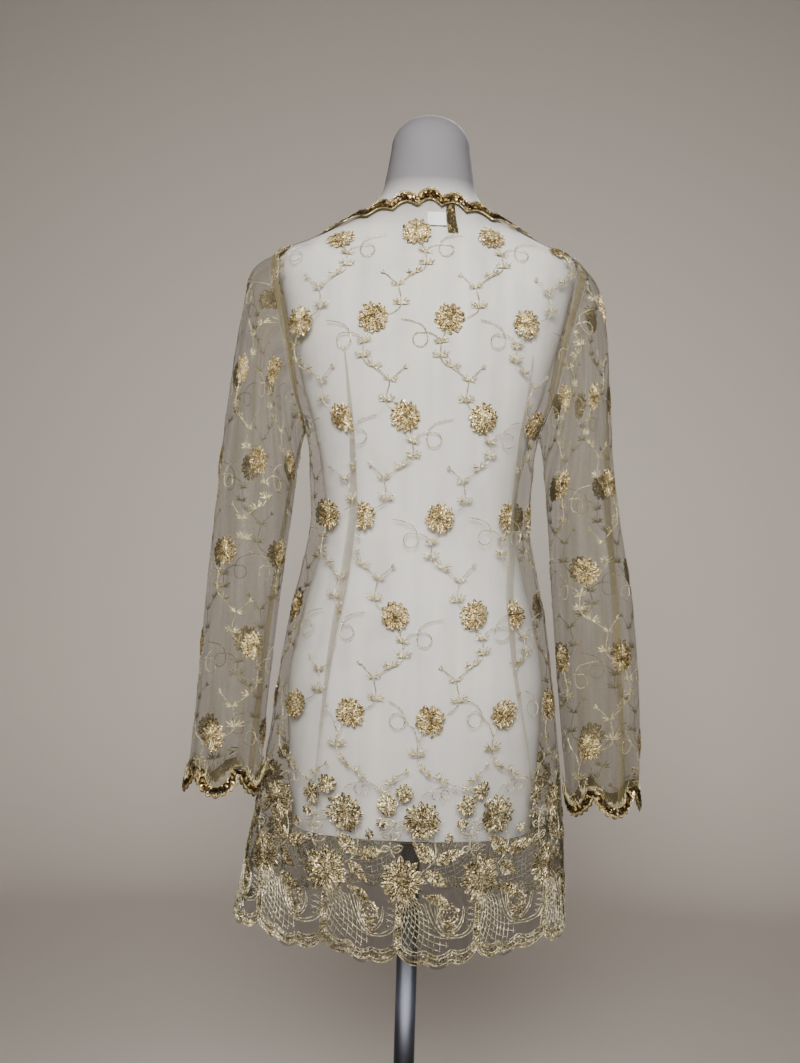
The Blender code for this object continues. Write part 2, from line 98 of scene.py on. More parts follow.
def new_material(name, colour, roughness, **sockets):
    """A material with its constants on the shader's own sockets. Gives it, its tree and its shader."""
    made = bpy.data.materials.new(name)
    made.use_nodes = True
    shader = made.node_tree.nodes["Principled BSDF"]
    shader.inputs["Base Color"].default_value = linear(colour)
    shader.inputs["Roughness"].default_value = roughness
    for socket, value in sockets.items():
        shader.inputs[socket.replace("_", " ")].default_value = value
    return made, made.node_tree, shader


def mesh_object(name, points, faces, look=None, smooth_angle=40):
    """An object from points and faces, shaded smooth up to an angle between faces."""
    mesh = bpy.data.meshes.new(name)
    mesh.from_pydata(points, [], faces)
    mesh.shade_smooth()
    if smooth_angle:
        mesh.set_sharp_from_angle(angle=math.radians(smooth_angle))
    if look:
        mesh.materials.append(look)
    made = bpy.data.objects.new(name, mesh)
    bpy.context.scene.collection.objects.link(made)
    return made


def turned(name, profile, look, node):
    """A part turned round the pole from a profile of (radius, height) that ends on the axis or meets itself."""
    points, faces, rings = [], [], []
    closed = profile[0][0] > 0
    for radius, height in profile:
        steps = TURNED_STEPS if radius > 0 else 1
        rings.append(list(range(len(points), len(points) + steps)))
        for i in range(steps):
            angle = 2 * math.pi * i / TURNED_STEPS
            points.append(Vector((radius * math.cos(angle), radius * math.sin(angle), height)))
    pairs = list(zip(rings, rings[1:])) + ([(rings[-1], rings[0])] if closed else [])
    for low, high in pairs:
        for i in range(TURNED_STEPS):
            n = (i + 1) % TURNED_STEPS
            corners = [low[i % len(low)], low[n % len(low)], high[n % len(high)], high[i % len(high)]]
            faces.append(list(dict.fromkeys(corners)))
    made = mesh_object(name, points, faces, look, 50)
    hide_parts(node)
    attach(made, "root")
    return made


def collar(inner, outer, low, high):
    """The profile of a collar with rounded outer edges."""
    edge = COLLAR_EDGE
    rounds = []
    for centre, start in ((low + edge, -90), (high - edge, 0)):
        for i in range(5):
            a = math.radians(start + 22.5 * i)
            rounds.append((outer - edge + edge * math.cos(a), centre + edge * math.sin(a)))
    return [(inner, low), *rounds, (inner, high)]


# Stove enamel on mild steel: sprayed and baked, so smooth with a faint orange peel about 3 mm across, a
# soft gloss, and a film of dust that dulls patches of it.
enamel, tree, shader = new_material("black_stove_enamel", "#0e0f13", 0.4, Specular_IOR_Level=0.35)
place = add_node(tree, "ShaderNodeTexCoord").outputs["Object"]
dust = add_node(tree, "ShaderNodeTexNoise", {"Vector": place, "Scale": 14.0, "Detail": 5.0})
toned = add_node(tree, "ShaderNodeValToRGB", {"Fac": dust.outputs["Fac"]},
                 stops=((0.40, "#08090c"), (0.75, "#191a20")))
tree.links.new(toned.outputs["Color"], shader.inputs["Base Color"])
dulled = add_node(tree, "ShaderNodeMapRange", {"Value": dust.outputs["Fac"], "To Min": 0.34, "To Max": 0.52})
tree.links.new(dulled.outputs["Result"], shader.inputs["Roughness"])
peel = add_node(tree, "ShaderNodeTexNoise", {"Vector": place, "Scale": 330.0, "Detail": 1.0})
relief = add_node(tree, "ShaderNodeBump", {"Height": peel.outputs["Fac"], "Strength": 0.12, "Distance": 0.0004})
tree.links.new(relief.outputs["Normal"], shader.inputs["Normal"])

turned("stand_foot", FOOT_PROFILE, enamel, "foot")
turned("stand_pole", [(0.0, POLE_LOW), (POLE_RADIUS, POLE_LOW), (POLE_RADIUS, POLE_HIGH), (0.0, POLE_HIGH)],
       enamel, "pole")
turned("stand_socket", collar(*SOCKET), enamel, "pole_socket")
turned("stand_flange", collar(*FLANGE), enamel, "form_flange")

# ======================================================================= dress form
# A limbless dress form, blow-moulded in one hollow piece from off-white plastic and flat underneath, with a
# domed neck. Its skin is satin, with the faint grey smudges of handling. It stands on the pole's flange.
FORM_BASE, FORM_BASE_ROUND = 0.800, 0.003
DOME_BASE, DOME_RISE = 1.553, 0.039
SQUARENESS = 2.3         # of the horizontal sections: 2 is an ellipse
FORM_COLUMNS, FORM_RINGS, FORM_DOME_RINGS = 112, 120, 18

# The garment's inner surface by height, and how far inside it the form's skin lies at side, back and front.
Section = namedtuple("Section", "height half_width back front gap_side gap_back gap_front")
SECTIONS = [
    Section(0.640, 0.186, 0.146, 0.138, 0.050, 0.045, 0.043),
    Section(0.705, 0.180, 0.141, 0.133, 0.045, 0.042, 0.040),
    Section(0.783, 0.173, 0.134, 0.126, 0.041, 0.035, 0.034),
    Section(0.868, 0.1635, 0.126, 0.116, 0.026, 0.018, 0.019),
    Section(0.961, 0.152, 0.117, 0.105, 0.011, 0.008, 0.009),
    Section(1.034, 0.141, 0.105, 0.097, 0.013, 0.010, 0.010),
    Section(1.082, 0.130, 0.096, 0.092, 0.015, 0.013, 0.012),
    Section(1.135, 0.1215, 0.090, 0.092, 0.0165, 0.014, 0.013),
    Section(1.184, 0.1235, 0.091, 0.100, 0.014, 0.011, 0.010),
    Section(1.232, 0.129, 0.096, 0.113, 0.010, 0.007, 0.005),
    Section(1.288, 0.156, 0.101, 0.119, 0.021, 0.004, 0.003),
    Section(1.345, 0.176, 0.102, 0.110, 0.026, 0.0032, 0.0025),
    Section(1.390, 0.185, 0.096, 0.092, 0.025, 0.0032, 0.0022),
    Section(1.416, 0.182, 0.087, 0.076, 0.016, 0.0034, 0.0020),
    Section(1.434, 0.166, 0.079, 0.062, 0.0045, 0.0045, 0.0026),
    Section(1.446, 0.138, 0.073, 0.053, 0.0026, 0.0052, 0.0028),
    Section(1.457, 0.116, 0.069, 0.049, 0.0028, 0.0056, 0.0028),
    Section(1.468, 0.095, 0.065, 0.047, 0.0030, 0.0054, 0.0028),
    Section(1.482, 0.075, 0.062, 0.049, 0.0034, 0.0044, 0.0028),
    Section(1.500, 0.0585, 0.0560, 0.049, 0.0040, 0.0034, 0.0034),
    Section(1.522, 0.0530, 0.0515, 0.047, 0.0040, 0.0034, 0.0034),
    Section(DOME_BASE, 0.0480, 0.0480, 0.046, 0.0040, 0.0034, 0.0034),
]


def smooth_table(keys, rows):
    """A function that gives the rows' columns anywhere between their keys, on smooth curves through them."""
    last = len(keys) - 1
    slopes = []
    for i in range(last + 1):
        low, high = max(i - 1, 0), min(i + 1, last)
        slopes.append([(b - a) / (keys[high] - keys[low]) for a, b in zip(rows[low], rows[high])])

    def read(at):
        at = min(max(at, keys[0]), keys[-1])
        i = next(k for k in range(last) if at <= keys[k + 1])
        step = keys[i + 1] - keys[i]
        t = (at - keys[i]) / step
        start, end = 2 * t**3 - 3 * t**2 + 1, 3 * t**2 - 2 * t**3
        leave, arrive = (t**3 - 2 * t**2 + t) * step, (t**3 - t**2) * step
        return [
            start * a + end * b + leave * p + arrive * q
            for a, b, p, q in zip(rows[i], rows[i + 1], slopes[i], slopes[i + 1])
        ]

    return read


def running_lengths(points):
    """The length along a chain of points up to each of them."""
    lengths = [0.0]
    for a, b in zip(points, points[1:]):
        lengths.append(lengths[-1] + math.dist(a, b))
    return lengths


SIDE_LENGTHS = running_lengths([(row.half_width, row.height) for row in SECTIONS])
section_at = smooth_table(SIDE_LENGTHS, SECTIONS)


def rise_at(height):
    """How far up the side outline a height is."""
    low, high = SIDE_LENGTHS[0], SIDE_LENGTHS[-1]
    for _ in range(40):
        middle = (low + high) / 2
        if section_at(middle)[0] < height:
            low = middle
        else:
            high = middle
    return (low + high) / 2


def form_point(turn, rise):
    """A point of the form's skin. Turn 0 is the wearer's left side, 90 the back."""
    height, half_width, back, front, gap_side, gap_back, gap_front = section_at(rise)
    across, along = math.cos(math.radians(turn)), math.sin(math.radians(turn))
    depth = back - gap_back if along > 0 else front - gap_front
    sides = abs(across / (half_width - gap_side)) ** SQUARENESS
    radius = (sides + abs(along / depth) ** SQUARENESS) ** (-1 / SQUARENESS)
    return Vector((radius * across, radius * along, height))


turns = [360 * c / FORM_COLUMNS for c in range(FORM_COLUMNS)]
low_rise, high_rise = rise_at(FORM_BASE + FORM_BASE_ROUND), rise_at(DOME_BASE)
rings = []
for i in range(FORM_RINGS + 1):
    rise = low_rise + (high_rise - low_rise) * i / FORM_RINGS
    rings.append([form_point(turn, rise) for turn in turns])
for i in range(1, FORM_DOME_RINGS):
    lift = math.pi / 2 * i / FORM_DOME_RINGS
    height = DOME_BASE + DOME_RISE * math.sin(lift)
    rings.append([Vector((p.x * math.cos(lift), p.y * math.cos(lift), height)) for p in rings[FORM_RINGS]])
for i in range(1, 5):
    bend = math.pi / 8 * i
    inwards = FORM_BASE_ROUND * (1 - math.cos(bend))
    height = FORM_BASE + FORM_BASE_ROUND * (1 - math.sin(bend))
    rings.insert(0, [
        Vector((p.x * (1 - inwards / p.xy.length), p.y * (1 - inwards / p.xy.length), height))
        for p in rings[i - 1]
    ])
points = [Vector((0, 0, FORM_BASE)), *[p for ring in rings for p in ring], Vector((0, 0, DOME_BASE + DOME_RISE))]
faces = []
for c in range(FORM_COLUMNS):
    n = (c + 1) % FORM_COLUMNS
    faces.append((0, 1 + n, 1 + c))
    for r in range(len(rings) - 1):
        low, high = 1 + r * FORM_COLUMNS, 1 + (r + 1) * FORM_COLUMNS
        faces.append((low + c, low + n, high + n, high + c))
    last = 1 + (len(rings) - 1) * FORM_COLUMNS
    faces.append((last + c, last + n, len(points) - 1))

# Blow-moulded polyethylene, sprayed satin off-white: a smooth shell with a soft broad highlight, faint grey
# handling smudges 30 to 80 mm across, fine scuffs, and the slight waviness of a thin moulding.
satin, tree, shader = new_material("satin_moulded_plastic", "#cbcac9", 0.7, Specular_IOR_Level=0.2)
place = add_node(tree, "ShaderNodeTexCoord").outputs["Object"]
smudge = add_node(tree, "ShaderNodeTexNoise", {"Vector": place, "Scale": 17.0, "Detail": 3.0, "Distortion": 0.6})
tint = add_node(tree, "ShaderNodeValToRGB", {"Fac": smudge.outputs["Fac"]},
                stops=((0.32, "#cfcecf"), (0.52, "#d9d8d6"), (0.72, "#dddbd7")))
scuff = add_node(tree, "ShaderNodeTexNoise", {"Vector": place, "Scale": 260.0, "Detail": 4.0, "Roughness": 0.7})
scuffed = add_node(tree, "ShaderNodeValToRGB", {"Fac": scuff.outputs["Fac"]},
                   stops=((0.66, "#ffffff"), (0.76, "#d9d7d4")))
colour = add_node(tree, "ShaderNodeMix", {"Factor": 0.5, 6: tint.outputs["Color"], 7: scuffed.outputs["Color"]},
                  data_type="RGBA", blend_type="MULTIPLY")
# the neck, from 1.455 m up to 1.515 m, is mixed to a darker grey than the body below it
height = add_node(tree, "ShaderNodeSeparateXYZ", {"Vector": place})
bare = add_node(tree, "ShaderNodeMapRange", {"Value": height.outputs["Z"], "From Min": 1.455, "From Max": 1.515})
toned = add_node(tree, "ShaderNodeMix", {"Factor": bare.outputs["Result"], 6: colour.outputs[2],
                                         7: linear("#5f5e62")}, data_type="RGBA")
tree.links.new(toned.outputs[2], shader.inputs["Base Color"])
polish = add_node(tree, "ShaderNodeMapRange", {"Value": smudge.outputs["Fac"], "To Min": 0.62, "To Max": 0.78})
tree.links.new(polish.outputs["Result"], shader.inputs["Roughness"])
waviness = add_node(tree, "ShaderNodeTexNoise", {"Vector": place, "Scale": 38.0, "Detail": 1.0})
relief = add_node(tree, "ShaderNodeBump", {"Height": waviness.outputs["Fac"], "Strength": 0.25, "Distance": 0.002})
tree.links.new(relief.outputs["Normal"], shader.inputs["Normal"])

form = mesh_object("moulded_form", points, faces, satin)
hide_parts("dress_form")
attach(form, "root")

# ======================================================================= tulle body
# The back and two fronts are cut from one sheer olive-beige nylon tulle, a hexagonal net so fine that it
# reads as a tint. The back is shaped by two long fisheye darts. Side and shoulder seams join them.
SIDE_HEM = 0.712         # height of the notches between hem scallops at the side seams
BACK_HEM_DROP = 0.017    # the hem hangs lower at the centre back
UNDERARM, SHOULDER_TIP = 1.2335, 1.434
NECK_SIDE, NECK_BACK, NECK_FRONT = 1.4655, 1.492, 1.315
SHOULDER_SHARE = 0.42    # of a half panel's top edge, from the side: the rest is its neckline
ARMHOLE_TURN = 19.0      # how far the armhole cuts into each panel, in degrees
WAIST = 1.13
CLOTH_OUT = 0.0006       # the net lies this far out of the garment's inner surface
REPEAT = 0.083           # of the embroidered border, and so of the hem's large scallops
LOBE_DEPTH, FRILL_DEPTH = 0.0105, 0.0045     # of a hem scallop, and of the three small ones in it
BORDER_START = {"back": -0.012, "front": 0.0}   # where a repeat begins, from the panel's centre
PANEL_COLUMNS = 76       # from a side seam to the centre
LOWER_ROWS, UPPER_ROWS = 128, 60     # hem to underarm, underarm to shoulder
DROP_FADE = 0.60         # height over which the net's sag at the centre back evens out

# Soft folds of the skirt: where round the body, how wide, how far in (-) or out, and the height they start at.
Fold = namedtuple("Fold", "turn spread depth start")
FOLDS = [
    Fold(6, 20, 0.012, 0.90),
    Fold(62, 9, -0.011, 0.98),
    Fold(97, 22, 0.007, 0.96),
    Fold(134, 9, -0.012, 0.98),
    Fold(176, 18, -0.009, 0.95),
    Fold(212, 12, 0.008, 0.98),
    Fold(240, 9, -0.010, 0.98),
    Fold(-34, 10, -0.009, 0.98),
    Fold(-58, 12, 0.007, 0.97),
]

# Fine creases: where round the body, mid height, half length, half width in degrees, how far out, and how
# many degrees a metre they lean.
Crease = namedtuple("Crease", "turn height length width out lean")
CREASES = [
    Crease(50, 0.84, 0.15, 2.6, 0.0040, 26),
    Crease(54, 0.80, 0.11, 1.8, -0.0035, 30),
    Crease(74, 0.80, 0.10, 3.0, 0.0028, -12),
    Crease(86, 0.77, 0.07, 2.2, -0.0026, 6),
    Crease(112, 0.79, 0.10, 2.8, 0.0030, 14),
    Crease(124, 0.82, 0.12, 2.2, -0.0032, 20),
    Crease(143, 0.82, 0.15, 2.8, 0.0042, -22),
    Crease(156, 0.79, 0.10, 2.4, -0.0030, -16),
    Crease(166, 0.85, 0.16, 2.6, 0.0036, -10),
    Crease(22, 0.84, 0.15, 2.8, 0.0036, 12),
    Crease(34, 0.80, 0.12, 2.2, -0.0030, 20),
    Crease(14, 1.12, 0.10, 3.2, 0.0024, 40),
    Crease(168, 1.10, 0.10, 3.0, 0.0026, -36),
    Crease(26, 1.17, 0.07, 2.4, 0.0018, 80),
    Crease(154, 1.16, 0.07, 2.4, 0.0020, -70),
    Crease(40, 1.06, 0.09, 2.4, 0.0016, 30),
    Crease(149, 1.02, 0.10, 2.2, 0.0018, -24),
    Crease(-12, 0.84, 0.15, 2.8, 0.0036, 14),
    Crease(-24, 0.80, 0.11, 2.4, -0.0030, 22),
    Crease(-46, 0.82, 0.13, 2.6, 0.0034, -18),
    Crease(-70, 0.80, 0.12, 2.8, 0.0030, 10),
    Crease(-82, 0.78, 0.09, 2.2, -0.0024, -8),
    Crease(-98, 0.79, 0.10, 2.6, 0.0028, 12),
    Crease(-112, 0.82, 0.13, 2.4, -0.0028, 18),
    Crease(-128, 0.82, 0.14, 2.8, 0.0036, -16),
    Crease(-156, 0.83, 0.15, 2.6, 0.0034, -12),
    Crease(-18, 1.12, 0.09, 3.0, 0.0022, 44),
    Crease(-160, 1.10, 0.09, 3.0, 0.0024, -40),
    Crease(-44, 1.15, 0.08, 2.4, 0.0016, 50),
    Crease(-134, 1.15, 0.08, 2.4, 0.0018, -52),
]

# The two fisheye darts of the back: height up the net from the hem, where each dart is from the centre back,
# and how much width it takes up.
Dart = namedtuple("Dart", "height left right take_up")
DARTS = [
    Dart(0.150, -0.106, 0.130, 0.000),
    Dart(0.182, -0.104, 0.126, 0.003),
    Dart(0.223, -0.100, 0.117, 0.010),
    Dart(0.272, -0.094, 0.106, 0.019),
    Dart(0.324, -0.086, 0.100, 0.032),
    Dart(0.364, -0.078, 0.098, 0.039),
    Dart(0.440, -0.070, 0.104, 0.041),
    Dart(0.472, -0.071, 0.106, 0.034),
    Dart(0.550, -0.078, 0.113, 0.010),
    Dart(0.614, -0.087, 0.118, 0.000),
]
dart_at = smooth_table([row.height for row in DARTS], DARTS)


def cloth_point(turn, rise, out=CLOTH_OUT, creased=True):
    """A point of the garment. Turn 0 is the wearer's left side, 90 the back, 180 the right, -90 the front."""
    height, half_width, back, front = section_at(rise)[:4]
    across, along = math.cos(math.radians(turn)), math.sin(math.radians(turn))
    sides = abs(across / half_width) ** SQUARENESS
    radius = (sides + abs(along / (back if along > 0 else front)) ** SQUARENESS) ** (-1 / SQUARENESS) + out
    for fold in FOLDS:
        fall = min(max((fold.start - height) / (fold.start - SIDE_HEM), 0.0), 1.2)
        away = (turn - fold.turn + 180) % 360 - 180
        radius += fold.depth * fall**1.4 * math.exp(-((away / fold.spread) ** 2))
    if creased:
        for crease in CREASES:
            up = (height - crease.height) / crease.length
            if abs(up) < 2.2:
                away = (turn - crease.turn - crease.lean * (height - crease.height) + 180) % 360 - 180
                if abs(away) < 3 * crease.width:
                    radius += crease.out * math.exp(-(up**2) - (away / crease.width) ** 2)
    return Vector((radius * across, radius * along, height))


def even_turns(centre_turn, height, steps=60):
    """A function that gives the turn at a share of the way round from the side seam to a panel's centre."""
    rise = rise_at(height)
    turns = [centre_turn * i / steps for i in range(steps + 1)]
    lengths = running_lengths([cloth_point(turn, rise, 0.0, False) for turn in turns])
    read = smooth_table([length / lengths[-1] for length in lengths], [(turn,) for turn in turns])
    return lambda share: read(share)[0]


turn_at_share = {90: even_turns(90, WAIST), -90: even_turns(-90, WAIST)}
SIDE_HEM_RISE, UNDERARM_RISE, TIP_RISE = rise_at(SIDE_HEM), rise_at(UNDERARM), rise_at(SHOULDER_TIP)
NECK_SIDE_RISE, NECK_BACK_RISE, NECK_FRONT_RISE = rise_at(NECK_SIDE), rise_at(NECK_BACK), rise_at(NECK_FRONT)


def hem_base(turn):
    """The rise of the notches between hem scallops."""
    return SIDE_HEM_RISE - BACK_HEM_DROP * max(math.sin(math.radians(turn)), 0.0) ** 2


def lobe_depth(place):
    """How far the hem hangs below its notches, at a place along the border, in repeats."""
    large = abs(math.sin(math.pi * place)) ** 0.8
    return LOBE_DEPTH * large + FRILL_DEPTH * abs(math.sin(3 * math.pi * place))


def armhole(roll):
    """Turn and rise of the armhole's edge on the left side. Roll 0 is the underarm, 180 the shoulder tip."""
    share = (1 - math.cos(math.radians(roll))) / 2
    turn = ARMHOLE_TURN * math.sqrt(max(math.sin(math.pi * share), 0.0))
    return turn if roll <= 180 else -turn, UNDERARM_RISE + (TIP_RISE - UNDERARM_RISE) * share


def top_edge(share, neck_turn, neck_rise):
    """Turn and rise along a panel's top edge: the shoulder seam, then the neckline to its centre."""
    if share < SHOULDER_SHARE:
        return 0.0, TIP_RISE + (NECK_SIDE_RISE - TIP_RISE) * share / SHOULDER_SHARE
    t = (share - SHOULDER_SHARE) / (1 - SHOULDER_SHARE)
    curve = math.sin(t * math.pi / 2) if neck_turn > 0 else t
    return neck_turn * t, NECK_SIDE_RISE + (neck_rise - NECK_SIDE_RISE) * curve


def panel_place(share, climb, centre_turn, centre_rise, low_rise):
    """Turn and rise in half a panel. Share runs from side to centre; climb from hem (0) by underarm (1) to 2."""
    turn = turn_at_share[centre_turn](share)
    if climb <= 1:
        plain = SIDE_HEM_RISE + (UNDERARM_RISE - SIDE_HEM_RISE) * climb
        return turn, plain + (low_rise - SIDE_HEM_RISE) * (1 - climb) ** 6
    t = climb - 1
    side_turn, side_rise = armhole(180 * t)
    side = (side_turn * math.copysign(1, centre_turn), side_rise)
    centre = (centre_turn, UNDERARM_RISE + (centre_rise - UNDERARM_RISE) * t)
    top = top_edge(share, centre_turn, centre_rise)
    low = (turn, UNDERARM_RISE)
    corners = ((0.0, UNDERARM_RISE), (centre_turn, UNDERARM_RISE), (0.0, TIP_RISE), (centre_turn, centre_rise))
    place = []
    for axis in range(2):
        sides = (1 - t) * low[axis] + t * top[axis] + (1 - share) * side[axis] + share * centre[axis]
        a, b, c, d = [corner[axis] for corner in corners]
        place.append(sides - (1 - t) * ((1 - share) * a + share * b) - t * ((1 - share) * c + share * d))
    return tuple(place)


# Lengths over the garment, looked up instead of measured again for each point of the net.
TURN_STEP, RISE_STEP = 3.0, 0.008
rises = [i * RISE_STEP for i in range(int(SIDE_LENGTHS[-1] / RISE_STEP) + 1)]
turns = [-180 + TURN_STEP * i for i in range(int(360 / TURN_STEP) + 1)]
measured = [[cloth_point(turn, rise, creased=False) for turn in turns] for rise in rises]
round_lengths = [running_lengths(line) for line in measured]
up_lengths = list(zip(*[running_lengths(column) for column in zip(*measured)]))


def looked_up(table, turn, rise):
    """A value between the four nearest entries of a table of lengths."""
    a = min(max((turn + 180) / TURN_STEP, 0), len(turns) - 1.001)
    b = min(max(rise / RISE_STEP, 0), len(rises) - 1.001)
    i, j = int(a), int(b)
    a, b = a - i, b - j
    low = table[j][i] * (1 - a) + table[j][i + 1] * a
    high = table[j + 1][i] * (1 - a) + table[j + 1][i + 1] * a
    return low * (1 - b) + high * b


def net_place(turn, rise, centre_turn):
    """Where a point lies on the flat net: across from the panel's centre, and up from the hem's notches."""
    across = looked_up(round_lengths, turn, rise) - looked_up(round_lengths, centre_turn, rise)
    base = looked_up(up_lengths, turn, SIDE_HEM_RISE)
    up = looked_up(up_lengths, turn, rise) - base
    drop = looked_up(up_lengths, turn, hem_base(turn)) - base
    return across, up - drop * (1 - min(max(up / DROP_FADE, 0.0), 1.0))


def unfolded(across, up, side):
    """The place on the net as cut, with the darts let out. Side says which side of the darts to read."""
    dart = dart_at(up)
    if side < 0:
        return across - dart[3], up
    return (across + dart[3], up) if side > 0 else (across, up)


def body_panel(name, centre_turn, centre_rise, sides, hem_out=0.0, step=1, look=None):
    """A panel with its net laid out in metres in its UV map. Sides are False for the half nearest turn 0 and
    True for its mirror image; hem_out makes it hang below its scallops, straight, as a carrier for sewing."""
    columns = []
    count = PANEL_COLUMNS // step
    for mirrored in sides:
        shares = [i / count for i in range(count + 1)]
        if mirrored == (centre_turn > 0):
            shares.reverse()
        half = [(share, mirrored) for share in shares]
        columns += half[1:] if columns else half
    kind, far_side = ("back", 180) if centre_turn > 0 else ("front", -180)
    climbs = [i * step / LOWER_ROWS for i in range(LOWER_ROWS // step)]
    climbs += [1 + i * step / UPPER_ROWS for i in range(UPPER_ROWS // step + 1)]
    points, flats = [], []
    for climb in climbs:
        for share, mirrored in columns:
            hem_turn = turn_at_share[centre_turn](share)
            hem_turn = far_side - hem_turn if mirrored else hem_turn
            low_rise = hem_base(hem_turn) - hem_out
            if not hem_out:
                across = net_place(hem_turn, low_rise, centre_turn)[0]
                low_rise -= lobe_depth((across - BORDER_START[kind]) / REPEAT)
            turn, rise = panel_place(share, climb, centre_turn, centre_rise, low_rise)
            turn = far_side - turn if mirrored else turn
            points.append(cloth_point(turn, rise))
            flats.append(net_place(turn, rise, centre_turn))
    width = len(columns)
    faces = []
    for r in range(len(climbs) - 1):
        for c in range(width - 1):
            low, high = r * width + c, (r + 1) * width + c
            faces.append((low, low + 1, high + 1, high))
    made = mesh_object(name, points, faces, look, 0)
    layer = made.data.uv_layers.new(name="net")
    for polygon in made.data.polygons:
        side = 0
        if kind == "back":
            middle_across = sum(flats[v][0] for v in polygon.vertices) / 4
            dart = dart_at(sum(flats[v][1] for v in polygon.vertices) / 4)
            side = -1 if middle_across < dart[1] else 1 if middle_across > dart[2] else 0
        for loop, v in zip(polygon.loop_indices, polygon.vertices):
            layer.data[loop].uv = unfolded(*flats[v], side) if side else flats[v]
    return made


def net_material(name, colour, alpha, thick_alpha, painted_fold_shade=0.04, border_painted_shade=0.0):
    """Sheer tulle. Its UV map is the net laid flat, in metres. The last argument is how much more its border covers,
    and there its colour is darkened too: both are painted shade over the hem.
    """
    made, tree, shader = new_material(name, colour, 0.7, Specular_IOR_Level=0.2)
    flat = add_node(tree, "ShaderNodeUVMap", uv_map="net").outputs["UV"]
    # hexagonal net: three sets of parallel threads, 60 degrees apart, seen as small knots
    threads = []
    for angle in (0, 60, 120):
        turned_flat = add_node(tree, "ShaderNodeMapping", {
            "Vector": flat, "Rotation": (0, 0, math.radians(angle)), "Scale": (1 / NET_CELL,) * 3,
        })
        threads.append(add_node(tree, "ShaderNodeTexWave", {"Vector": turned_flat.outputs["Vector"],
                                                            "Scale": 1.0}, bands_direction="X").outputs["Fac"])
    knots = add_node(tree, "ShaderNodeMath", {0: threads[0], 1: threads[1]}, operation="MAXIMUM")
    knots = add_node(tree, "ShaderNodeMath", {0: knots.outputs["Value"], 1: threads[2]}, operation="MAXIMUM")
    # streaks along the net, where it is a little denser: painted shade of soft lengthwise folds
    stretched = add_node(tree, "ShaderNodeMapping", {"Vector": flat, "Scale": (62.0, 5.0, 1.0)})
    fold_streak = add_node(tree, "ShaderNodeTexNoise", {"Vector": stretched.outputs["Vector"], "Scale": 1.0, "Detail": 2.0})
    fold_shade = add_node(tree, "ShaderNodeMapRange", {"Value": fold_streak.outputs["Fac"], "From Min": 0.3, "From Max": 0.7,
                                                   "To Min": -painted_fold_shade, "To Max": painted_fold_shade})
    cover = add_node(tree, "ShaderNodeMapRange", {"Value": knots.outputs["Value"], "From Min": 0.35,
                                                  "To Min": alpha, "To Max": thick_alpha})
    cover = add_node(tree, "ShaderNodeMath", {0: cover.outputs["Result"], 1: fold_shade.outputs["Result"]})
    # the border is painted more opaque: painted shade
    if border_painted_shade:
        up = add_node(tree, "ShaderNodeSeparateXYZ", {0: flat})
        border = add_node(tree, "ShaderNodeMapRange", {"Value": up.outputs["Y"], "From Min": 0.085, "From Max": 0.125,
                                                       "To Min": 1.0, "To Max": 0.0})
        cover = add_node(tree, "ShaderNodeMath", {0: border.outputs["Result"], 1: border_painted_shade, 2: cover.outputs["Value"]},
                         operation="MULTIPLY_ADD")
    tree.links.new(cover.outputs["Value"], shader.inputs["Alpha"])
    # the painted fold streaks also shift the net's colour towards NET_WARM
    warm = add_node(tree, "ShaderNodeValToRGB", {"Fac": fold_streak.outputs["Fac"]},
                    stops=((0.3, colour), (0.7, NET_WARM)))
    tree.links.new(warm.outputs["Color"], shader.inputs["Base Color"])
    # the border's colour is mixed to a dark brown: painted shade
    if border_painted_shade:
        shaded = add_node(tree, "ShaderNodeMix", {"Factor": border.outputs["Result"], 6: warm.outputs["Color"],
                                                  7: linear(BORDER_PAINTED_SHADE)}, data_type="RGBA")
        tree.links.new(shaded.outputs[2], shader.inputs["Base Color"])
    return made


# the dark colour of the back border's painted shade
BORDER_PAINTED_SHADE = "#25221b"
NET_CELL = 0.0022        # drawn over twice the real 0.9 mm, so that it shows
NET_WARM = "#4d4733"
tulle = net_material("sheer_nylon_tulle", "#3d3929", 0.15, 0.34)
# the back's border is painted darker and more opaque, as painted shade; the fronts' net is plain
back_net = net_material("border_nylon_tulle", "#3d3929", 0.15, 0.34, border_painted_shade=0.14)
# the sleeves' net is more opaque and darker than the body's, with stronger streaks: partly the net itself, partly
# painted shade for the shadow behind the sleeves
sleeve_tulle = net_material("draped_nylon_tulle", "#3a3629", 0.20, 0.42, 0.13)

back_tulle = body_panel("back_tulle", 90, NECK_BACK_RISE, (False, True), look=back_net)
left_front_tulle = body_panel("left_front_tulle", -90, NECK_FRONT_RISE, (False,), look=tulle)
right_front_tulle = body_panel("right_front_tulle", -90, NECK_FRONT_RISE, (True,), look=tulle)
for made, node in ((back_tulle, "back"), (left_front_tulle, "front_left"), (right_front_tulle, "front_right")):
    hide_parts(node)
    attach(made, "root")

# ======================================================================= tulle sleeves
# Two long one-piece sleeves of the same net, set into the armholes and hanging free to a scalloped cuff.
# Each is closed by one seam under the arm and hangs in a few long soft folds.
SleeveRow = namedtuple("SleeveRow", "outer_x outer_z inner_x inner_z half_depth sway")
LEFT_SLEEVE = [
    SleeveRow(0.167, 1.434, 0.130, 1.233, 0.050, 0.000),
    SleeveRow(0.190, 1.418, 0.133, 1.222, 0.056, 0.000),
    SleeveRow(0.204, 1.367, 0.136, 1.205, 0.059, 0.000),
    SleeveRow(0.214, 1.306, 0.139, 1.182, 0.059, 0.001),
    SleeveRow(0.223, 1.220, 0.142, 1.150, 0.057, 0.003),
    SleeveRow(0.228, 1.150, 0.147, 1.105, 0.054, 0.006),
    SleeveRow(0.234, 1.050, 0.153, 1.040, 0.050, 0.018),
    SleeveRow(0.239, 0.950, 0.160, 0.950, 0.046, 0.034),
    SleeveRow(0.243, 0.880, 0.164, 0.875, 0.042, 0.049),
    SleeveRow(0.247, 0.844, 0.166, 0.842, 0.042, 0.055),
]
